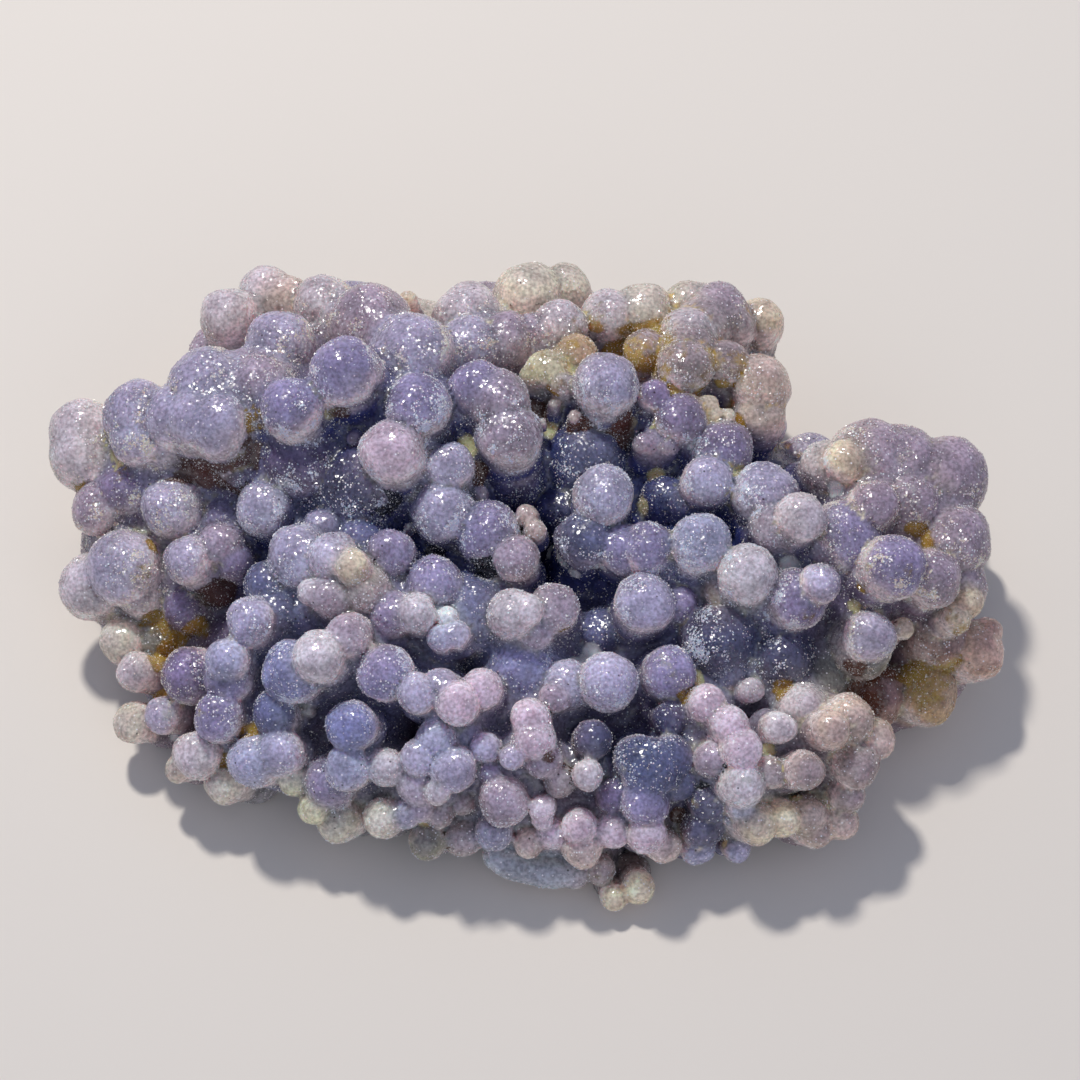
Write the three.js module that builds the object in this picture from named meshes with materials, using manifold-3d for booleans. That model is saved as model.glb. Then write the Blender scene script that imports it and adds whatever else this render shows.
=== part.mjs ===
// Botryoidal chalcedony: one crust of violet balls grown together on a low rocky mass,
// with the flat face that it rests on. Millimetres, +Z up, origin on the rest face.
import * as THREE from 'three';
import { MarchingCubes } from 'three/addons/objects/MarchingCubes.js';
import { mergeVertices } from 'three/addons/utils/BufferGeometryUtils.js';
import Module from 'manifold-3d';

// The view that the balls are placed by: its width, steepness and distance.
const VIEW_WIDTH = 108;
const VIEW_ELEVATION = THREE.MathUtils.degToRad(60);
const VIEW_DISTANCE = 300;

// Where the middle of the view lies on the table, measured from the origin.
const VIEW_CENTRE = new THREE.Vector3(0, 4.5, 0);

// The skin of the specimen is faceted on a cube of cells of this size, so many cells a side.
const CELL = 2;
const CELLS = 64;
const FACETS_AT_MOST = 30000;

// The skin keeps this share of a cell away from the corners of the cells, so no facet is a sliver.
const CORNER_SHARE = 0.12;

// A ball shapes the cells up to this far outside it.
const BALL_MARGIN = 2 * CELL;

// Every ball sits on two roots: wider balls sunk towards the heart of the specimen.
const ROOTS = [{ width: 1.15, sink: 0.95 }, { width: 1.4, sink: 2.1 }];
const HEART = new THREE.Vector3(0, 1.5, -12);
const HEART_SPREAD = new THREE.Vector3(0.6, 0.55, 0);

// The slab of space under the rest face that is cut away, larger than the specimen.
const CUT_SPAN = 200;
const CUT_DEPTH = 60;

// Visible balls: [across, down, radius, height of the centre above the table].
// Across and down are read in the view, from its top left corner.
const LEFT_END = [
  [7.8, 43.4, 2.9, 15], [7.7, 45.6, 3.2, 14], [9.9, 50.8, 2.8, 12.5], [12.8, 48.7, 2.9, 14],
  [12.5, 56.8, 3.9, 11.5], [9.4, 58.6, 3.3, 8.5], [14, 59.7, 2.2, 10], [12.4, 64, 2.5, 7],
  [13.8, 67.2, 2.1, 7.5], [18.6, 61, 2.4, 9], [15.6, 63.6, 2.2, 7], [13.5, 72.3, 2.2, 5],
  [16.5, 71.5, 2, 7.5], [19, 67.5, 3, 10],
];
const LEFT_SLOPE = [
  [17.3, 50.8, 3.15, 15], [26.6, 50.9, 3.05, 17], [22.5, 51.8, 2.4, 14], [22.2, 54.6, 2.5, 14.5],
  [18.9, 56.1, 2.55, 14.5], [23.6, 56.2, 2, 14], [25.1, 62.2, 2.6, 16], [22.7, 66, 2.4, 14.5],
  [22.9, 67.8, 2.6, 12.5], [22, 71.7, 2.6, 11], [19.7, 75.5, 2.5, 7.5], [17.8, 77, 1.5, 5.5],
  [22.7, 78.3, 2.3, 5], [25.5, 76.1, 2.7, 9.5], [28.1, 75.2, 2.5, 10.5], [27.8, 71.2, 2.5, 12],
  [29.5, 67.2, 3.3, 15], [27, 58.6, 2.7, 15], [27.7, 61.1, 2.4, 15],
];
const RIDGE = [
  [13.9, 41.5, 3.6, 19], [13.8, 44, 2.8, 18.5], [16.5, 44.7, 3, 17], [17.2, 42.1, 2.7, 20.5],
  [21.7, 42.4, 3.15, 22.5], [21, 38.7, 4.1, 21.5], [23, 31.9, 3.1, 18], [26.8, 29.3, 2.9, 17.5],
  [28.6, 30, 2.7, 18], [28, 34.5, 3.5, 22], [32.5, 30.6, 3.2, 19.5], [37.1, 32.4, 4.2, 21],
  [34.6, 37.2, 3.65, 26], [26.2, 38.5, 3.1, 22.5], [29.3, 41, 3.3, 24], [41.6, 35, 3.8, 23.5],
  [41.9, 40.8, 3.4, 24.5], [39.3, 45.3, 3.35, 23.5], [46.8, 31.8, 3.6, 19], [47, 34.5, 3.1, 21],
  [50.5, 34, 2.9, 20.5], [52.9, 29.7, 3.5, 17], [56.6, 28.9, 2.6, 16.5], [56, 32.8, 2.8, 20],
  [60.8, 31.7, 2.8, 19], [64.3, 31.3, 3.1, 18.5], [69.2, 31, 3, 17.5], [71.6, 31.8, 3.6, 18],
  [68.5, 36.7, 2.9, 21.5], [69, 33.6, 3, 20], [75.9, 32.4, 2.6, 16], [72.4, 36.5, 2.5, 20],
  [76, 38.7, 3.2, 18.5], [75.8, 41.7, 2.9, 17], [47.7, 38.9, 2.9, 24], [49.7, 40.2, 3.4, 23.5],
  [50.8, 43.6, 3.4, 22.5], [54.7, 37.2, 2.2, 22], [56.2, 38.5, 1.5, 22], [60.5, 38.6, 3.4, 22.5],
  [68.1, 42.1, 2.8, 20], [65.5, 39.8, 1.8, 21], [65.5, 44.6, 2, 18.5], [72.2, 45, 3.1, 18.5],
  [70.9, 40.6, 1.2, 20.5], [53, 33.6, 2.2, 20], [64.5, 35, 2.6, 20.5], [57.5, 35.8, 2.4, 21],
];
const MIDDLE = [
  [45, 46.7, 2.5, 21.5], [44.3, 51.2, 3.35, 19], [48.7, 53.4, 3.3, 18], [51.6, 55.9, 2.45, 18.5],
  [52.7, 51.6, 1.2, 18.5], [53.4, 53, 1.2, 18.5], [60.4, 49.6, 3.15, 19.5], [58.5, 54, 3, 17],
  [62.3, 55, 2.7, 17], [64.9, 54.8, 2.8, 18], [64.5, 60.4, 3.1, 16.5], [68, 60.5, 1.8, 15],
  [70.7, 48.3, 2.8, 19], [70, 54.4, 3.2, 19], [74.7, 57.5, 3.1, 18.5], [80.1, 51.8, 2.6, 21],
  [76.5, 49.7, 3.5, 18.5], [77.5, 52.6, 2.9, 18.5], [71.8, 59.4, 1.3, 16],
];
const HOLLOW = [
  [58.5, 46.2, 4.6, 16], [36.5, 49, 4.3, 14], [30, 46.5, 4, 17], [47, 61.5, 4.3, 14],
  [54, 66.5, 3.6, 12], [60, 63.3, 2.6, 11.5], [72, 63.8, 4, 11], [73, 66.7, 2.3, 12],
  [78.5, 65.5, 3.3, 10], [82, 68, 3, 9.5], [66.5, 50, 2.6, 15.5], [43, 66, 3, 12],
  [30.8, 48.6, 1.3, 16.5], [51.3, 47.6, 3, 17], [56, 51, 2.5, 15], [23, 47, 1.6, 17.5],
  [30.3, 61.3, 2.3, 14.5], [68.5, 50.6, 2.2, 16.5],
];
const RIGHT_LOBE = [
  [86.3, 45.3, 3.6, 18], [89.5, 45.3, 3.2, 17.5], [82.9, 46.6, 2.7, 17.5], [84.5, 46.2, 2.2, 19.5],
  [94.1, 47.4, 3.85, 16.5], [87.2, 50.7, 2.7, 19.5], [95.2, 54.3, 3.6, 14.5], [95.6, 58.4, 3.2, 12.5],
  [89.2, 56.7, 3.3, 19], [93.2, 57.8, 3, 16.5], [84.2, 54.5, 3.3, 18.5], [82.1, 58.4, 2.1, 19],
  [79.5, 60, 3.1, 16.5], [86.8, 63.7, 2.7, 14.5], [86, 64.8, 3.2, 12], [90.2, 62.9, 1.1, 14],
  [96.6, 60.3, 1.8, 13.5], [95.5, 61.8, 1.7, 13.5], [97.2, 65.2, 3.2, 7.5], [93.5, 64, 3.1, 9],
  [92.4, 69.5, 3.3, 6], [98.7, 63.2, 1.6, 8.5], [91, 50.5, 3, 17.5],
];
const KNOB = [
  [83.1, 73, 2.1, 14.5], [84.6, 72, 2.8, 12.5], [80.3, 70.8, 2.6, 12], [77.9, 72.8, 1.7, 14],
  [87.4, 73.8, 2.2, 10.5], [85.4, 76.4, 2.5, 10.5], [80.4, 77, 2.1, 13], [80.6, 81.5, 2.2, 7],
  [83.9, 82, 2, 6], [84.6, 79.4, 2, 8], [74.2, 78.5, 2.4, 12], [75.6, 82.3, 2.3, 8.5],
  [78.2, 81.8, 2, 8], [70.8, 70.5, 2.1, 14.5], [72.8, 72.4, 2.1, 14.5], [74, 74.9, 2.1, 14],
  [71.1, 75.9, 1.8, 12.5], [75.2, 69, 1.35, 13], [81.3, 83, 2, 5.5], [77.2, 77.2, 1.7, 12],
];
const FRONT = [
  [33.3, 55.6, 2.5, 20], [35.3, 56.7, 2, 20.5], [30.2, 55.7, 3.5, 17.5], [31.1, 59.2, 1.35, 18.5],
  [33.2, 59.6, 2.4, 18], [36.6, 59, 2.4, 18.5], [36, 54, 2.5, 17], [39.2, 55.3, 2.5, 18.5],
  [43.4, 58.3, 2.8, 17.5], [39.3, 61.4, 2.4, 17.5], [41.6, 61.3, 2.1, 18.5], [44.1, 63.9, 1.4, 17.5],
  [45.7, 63.5, 1.5, 17.5], [34.9, 63.6, 2.4, 18], [31.9, 65.7, 2.7, 18], [38.6, 67.3, 2.9, 16.5],
  [41.7, 69.4, 2.1, 17], [44.3, 68.8, 2.1, 16.5], [45.7, 70.3, 2.25, 17], [48.2, 69, 2.25, 16],
  [51.3, 61.5, 2.6, 17.5], [55.5, 60.8, 2.5, 17], [53.4, 63.1, 2, 16], [52.8, 61, 1.7, 19],
  [60.8, 68.2, 3, 15], [56.7, 68.6, 2.5, 13.5], [66.8, 67.3, 2.8, 13.5], [32.3, 53, 2.2, 17.5],
];
const LOWER_FRONT = [
  [35.3, 72.6, 2.7, 14], [34.8, 76.7, 2.4, 11.5], [38.7, 76.7, 2, 11.5], [42, 75.7, 2, 13],
  [43.7, 73.8, 2.1, 14], [45.3, 76.9, 2.4, 13], [43.7, 79.2, 1.35, 12], [42, 78.5, 2.3, 10.5],
  [42, 80.8, 1.5, 9], [44, 81.4, 1.5, 8], [46.3, 80.3, 1.3, 8.5], [38.3, 81.8, 2.1, 8],
  [40.5, 81.4, 1.6, 8.5], [42.8, 84.1, 2, 5.5], [34, 81.8, 2.5, 5], [31.3, 80.8, 1.65, 7],
  [29.7, 78, 1.75, 8], [33, 78.3, 2.8, 8], [48.6, 74.7, 1.6, 13.5], [46.8, 73.4, 1.6, 13],
  [53.1, 72, 2.15, 15], [53.4, 73.8, 2.3, 14.5], [51.2, 75.7, 1.35, 14], [54.3, 76.1, 2, 12.5],
  [56, 78, 1.75, 11], [55.5, 69.8, 1.6, 14.5], [50.4, 80, 2.65, 10.5], [49, 77.1, 1.5, 11.5],
  [49.4, 83.2, 2, 7], [54.2, 80.8, 1.4, 10], [52.9, 84.3, 1.6, 6.5], [55.2, 83.4, 1.7, 7],
  [59.2, 74, 2.05, 13], [58.7, 77.4, 1.65, 12.5], [58, 82.7, 1.85, 8.5], [58.2, 84.8, 2.1, 6.5],
  [61.2, 83, 1.9, 7.5], [64.7, 83.3, 2.1, 8.5], [66.2, 84.5, 1.9, 6.5], [64.5, 80.3, 2.6, 10],
  [63.6, 75.8, 2.4, 12], [67, 75.8, 2.4, 11.5], [65, 78.4, 2.3, 10.5], [67.5, 78, 2.1, 10],
  [67, 71.9, 1.9, 12], [70.8, 80.3, 2.1, 8.5], [70.2, 82.7, 2.2, 6.5], [69.7, 84.8, 1.8, 4.5],
  [73.8, 84.9, 1.35, 4], [46.3, 83.6, 2.2, 5], [61.5, 79.5, 2, 9.5],
];
const LOWER_EDGE = [
  [49.8, 86.4, 1.5, 3], [52.3, 87, 1.6, 2.5], [54.9, 87.3, 1.6, 2.5], [57.5, 87.3, 1.6, 2.5],
  [60, 87, 1.6, 3], [63.8, 88.7, 1.7, 2.5], [61.4, 89.6, 1.4, 2],
];

// Balls on the sides that the view doesn't show: [x, y, z, radius].
const BACK = [
  [-31, 18, 12, 3.8], [-26, 22.5, 12, 4], [-19, 22.5, 12, 4.2], [-12, 21, 11, 4.2],
  [-5, 22.5, 12, 4.2], [2, 23, 12, 4.2], [9, 21.5, 12, 4], [16, 22, 11.5, 4.1], [19.5, 17.5, 12, 3.8],
  [25.5, 3, 10.5, 3.2], [-33, 16, 5.5, 3.8], [-28, 23.5, 5, 4], [-21, 26, 5, 4.2],
  [-13.5, 25.5, 5, 4.2], [-6, 26.5, 5, 4.2], [2, 27, 5, 4], [10, 25.5, 5, 4], [17.5, 25, 5, 4],
  [20.5, 17, 5.5, 4], [26.5, 9, 5.5, 4], [33, 7.5, 6, 3.8], [38.5, 5.5, 6, 3.8], [40.5, 1.5, 6, 3.4],
  [39.5, -4.5, 4, 3.3], [-37.5, 12.5, 8, 3.6], [-42.5, 10.5, 7, 3.5], [-41.5, 2.5, 5, 3],
  [-41, -1, 4, 3.3], [-37.5, 13.5, 3.5, 3.2],
];

// The rocky mass under the balls: [x, y, z, radius], each cut flat by the table where it reaches it.
const MASS = [
  [-26, 6, 1, 15], [-10, 9, 1, 17], [8, 9, 1, 16.5], [17, 2, 0.5, 13.5], [33, -2, 1, 10],
  [-36, 3, 1, 9.5], [-16, -11, 0.5, 13.5], [0, -13, 0, 12.5], [14, -16, 0, 11.5], [20, -15, 0, 9.5],
  [3, -22, 0, 9], [-26, -10, 0, 10], [24, -19, 0, 7],
];

const STONE = {
  name: 'chalcedony', color: '#7f7896', roughness: 0.38, metalness: 0,
};

const wasm = await Module();
wasm.setup();

// Place of the centre and true radius of a ball read in the view, which is in perspective.
function placeSeen([across, down, radius, height]) {
  const up = VIEW_WIDTH / 2 - down;
  const sine = Math.sin(VIEW_ELEVATION);
  const cosine = Math.cos(VIEW_ELEVATION);
  const eye = new THREE.Vector3(0, -cosine, sine).multiplyScalar(VIEW_DISTANCE);
  const onPicture = new THREE.Vector3(across - VIEW_WIDTH / 2, up * sine, up * cosine);
  const nearer = (height - onPicture.z) / (eye.z - onPicture.z);
  const centre = onPicture.lerp(eye, nearer).add(VIEW_CENTRE);
  return { centre, radius: radius * (1 - nearer) };
}

function placeKnown([x, y, z, radius]) {
  return { centre: new THREE.Vector3(x, y, z), radius };
}

// The roots of a ball lie towards the heart, which spreads out under the whole specimen.
function rootsOf({ centre, radius }) {
  const heart = centre.clone().sub(HEART).multiply(HEART_SPREAD).add(HEART);
  const inwards = heart.sub(centre).normalize();
  return ROOTS.map(({ width, sink }) => ({
    centre: centre.clone().addScaledVector(inwards, radius * sink),
    radius: radius * width,
  }));
}

// Enters a ball in the field, whose value is the depth below the skin, negative outside.
function enterBall(field, { centre, radius }) {
  const middle = CELLS / 2;
  const reach = radius + BALL_MARGIN;
  const first = centre.clone().subScalar(reach).divideScalar(CELL).addScalar(middle).floor();
  const last = centre.clone().addScalar(reach).divideScalar(CELL).addScalar(middle).ceil();
  const corner = new THREE.Vector3();
  for (let k = first.z; k <= last.z; k += 1) {
    for (let j = first.y; j <= last.y; j += 1) {
      for (let i = first.x; i <= last.x; i += 1) {
        corner.set(i, j, k).subScalar(middle).multiplyScalar(CELL);
        const depth = radius - corner.distanceTo(centre);
        const index = i + CELLS * (j + CELLS * k);
        field[index] = Math.max(field[index], depth);
      }
    }
  }
}

// Empty corners that the open air can't reach would be sealed pockets in the stone, so they are filled.
function fillPockets(field) {
  const steps = [1, CELLS, CELLS * CELLS];
  const neighbours = [...steps, ...steps.map((step) => -step)];
  const open = new Set([0]);
  for (const index of open) {
    for (const step of neighbours) {
      if (field[index + step] < 0) open.add(index + step);
    }
  }
  field.forEach((depth, index) => {
    if (depth < 0 && !open.has(index)) field[index] = CELL;
  });
}

// The faceted skin round all the balls, as one closed three.js shape.
function skinAround(balls) {
  const cubes = new MarchingCubes(CELLS, new THREE.Material(), false, false, FACETS_AT_MOST);
  cubes.isolation = 0;
  cubes.field.fill(-CELL);
  balls.forEach((ball) => enterBall(cubes.field, ball));
  fillPockets(cubes.field);
  const least = CORNER_SHARE * CELL;
  cubes.field.forEach((depth, index) => {
    if (Math.abs(depth) < least) cubes.field[index] = depth < 0 ? -least : least;
  });
  cubes.update();
  const geometry = new THREE.BufferGeometry();
  const corners = cubes.positionArray.slice(0, cubes.count * 3);
  geometry.setAttribute('position', new THREE.BufferAttribute(corners, 3));
  const side = (CELL * CELLS) / 2;
  return geometry.scale(side, side, side);
}

// A closed solid from a three.js shape.
function solidFrom(geometry) {
  geometry.deleteAttribute('normal');
  geometry.deleteAttribute('uv');
  const merged = mergeVertices(geometry);
  return new wasm.Manifold(new wasm.Mesh({
    numProp: 3,
    vertProperties: new Float32Array(merged.attributes.position.array),
    triVerts: new Uint32Array(merged.index.array),
  }));
}

// The finished solid as a named mesh in its own material.
function meshFrom(manifold, { name, ...look }) {
  const surface = manifold.getMesh();
  const geometry = new THREE.BufferGeometry();
  geometry.setAttribute('position', new THREE.BufferAttribute(surface.vertProperties, 3));
  geometry.setIndex(new THREE.BufferAttribute(surface.triVerts, 1));
  geometry.computeVertexNormals();
  const mesh = new THREE.Mesh(geometry, new THREE.MeshStandardMaterial(look));
  mesh.name = name;
  return mesh;
}

const seenRows = [
  ...LEFT_END, ...LEFT_SLOPE, ...RIDGE, ...MIDDLE, ...HOLLOW, ...RIGHT_LOBE, ...KNOB, ...FRONT,
  ...LOWER_FRONT, ...LOWER_EDGE,
];
const balls = [...seenRows.map(placeSeen), ...BACK.map(placeKnown)];
const masses = MASS.map(placeKnown);

// All of it is one stone, cut off flat at the table.
const skin = skinAround([...balls, ...balls.flatMap(rootsOf), ...masses]);
const underTable = new THREE.BoxGeometry(CUT_SPAN, CUT_SPAN, CUT_DEPTH);
underTable.translate(0, 0, -CUT_DEPTH / 2);
const solid = solidFrom(skin).subtract(solidFrom(underTable));

const specimen = new THREE.Group();
specimen.add(meshFrom(solid, STONE));

export default specimen;
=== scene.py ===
"""Botryoidal chalcedony: violet balls grown together, the sugar of tiny quartz crystals on them,
the stains between them and the shade and glow painted on them. It dresses the solid of the
part in its own frame, in metres. Shapes are worked out in millimetres and turned to metres
when a mesh is made."""

import logging
import math
from dataclasses import dataclass, field
from enum import Enum

import bpy
import numpy as np
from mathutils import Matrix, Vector, noise

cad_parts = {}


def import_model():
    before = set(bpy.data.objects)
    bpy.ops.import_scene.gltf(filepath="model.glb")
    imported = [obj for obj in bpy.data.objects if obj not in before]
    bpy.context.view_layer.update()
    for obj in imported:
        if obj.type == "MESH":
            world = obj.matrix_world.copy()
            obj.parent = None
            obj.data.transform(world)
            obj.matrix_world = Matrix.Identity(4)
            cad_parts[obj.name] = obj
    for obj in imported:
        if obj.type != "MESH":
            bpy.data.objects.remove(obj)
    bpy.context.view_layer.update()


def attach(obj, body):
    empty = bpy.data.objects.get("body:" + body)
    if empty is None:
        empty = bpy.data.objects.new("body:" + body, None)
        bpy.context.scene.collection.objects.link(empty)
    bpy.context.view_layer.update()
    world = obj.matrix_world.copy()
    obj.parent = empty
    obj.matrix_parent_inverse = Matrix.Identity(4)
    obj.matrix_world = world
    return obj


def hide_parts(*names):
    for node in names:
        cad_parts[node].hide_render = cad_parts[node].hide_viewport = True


log = logging.getLogger("chalcedony")

NODE = "chalcedony"
BODY = "root"
METRES = 0.001

Tree = bpy.types.NodeTree
Socket = bpy.types.NodeSocket
RANGE = "ShaderNodeMapRange"
MATH = "ShaderNodeMath"
VECTOR = "ShaderNodeVectorMath"
MIX = "ShaderNodeMix"
NOISE = "ShaderNodeTexNoise"
CELLS = "ShaderNodeTexVoronoi"


def linear(code: str) -> np.ndarray:
    """Turns an sRGB hex colour to linear light.

    Args:
        code: the colour as six hex digits after a hash sign.

    Returns:
        Red, green and blue from 0 to 1.
    """
    parts = np.array([int(code[i : i + 2], 16) / 255 for i in (1, 3, 5)])
    return np.where(parts <= 0.04045, parts / 12.92, ((parts + 0.055) / 1.055) ** 2.4)


class Tint(Enum):
    """What colour a ball has in daylight, for the kinds of chalcedony that grow here."""

    LILAC = "#a9a3b8"
    VIOLET = "#8f87a6"
    SILVER = "#b2adc0"
    PEARL = "#c8bfc1"
    MAUVE = "#a4959f"
    ROSE = "#cfbac4"
    DUSK = "#7f7291"
    PLUM = "#57486a"
    INDIGO = "#4e5676"
    NAVY = "#2b3152"
    BLUE = "#7c80a6"
    SLATE = "#a3a4ba"
    MIST = "#cfc7b2"
    LEMON = "#d2cda4"
    CREAM = "#dac9a8"
    BEIGE = "#cdb8a8"
    # peach: partly the balls' own warm colour, partly painted glow of the light passing through the
    # lower right lobe
    PEACH = "#cfae98"
    RUSSET = "#967060"
    SMOKE = "#a39590"
    GREY = "#a6abae"
    AMBER = "#c0a272"
    OLIVE = "#7c7c64"
    TEAL = "#2f3c46"
    ICE = "#f4f6fb"


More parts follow.
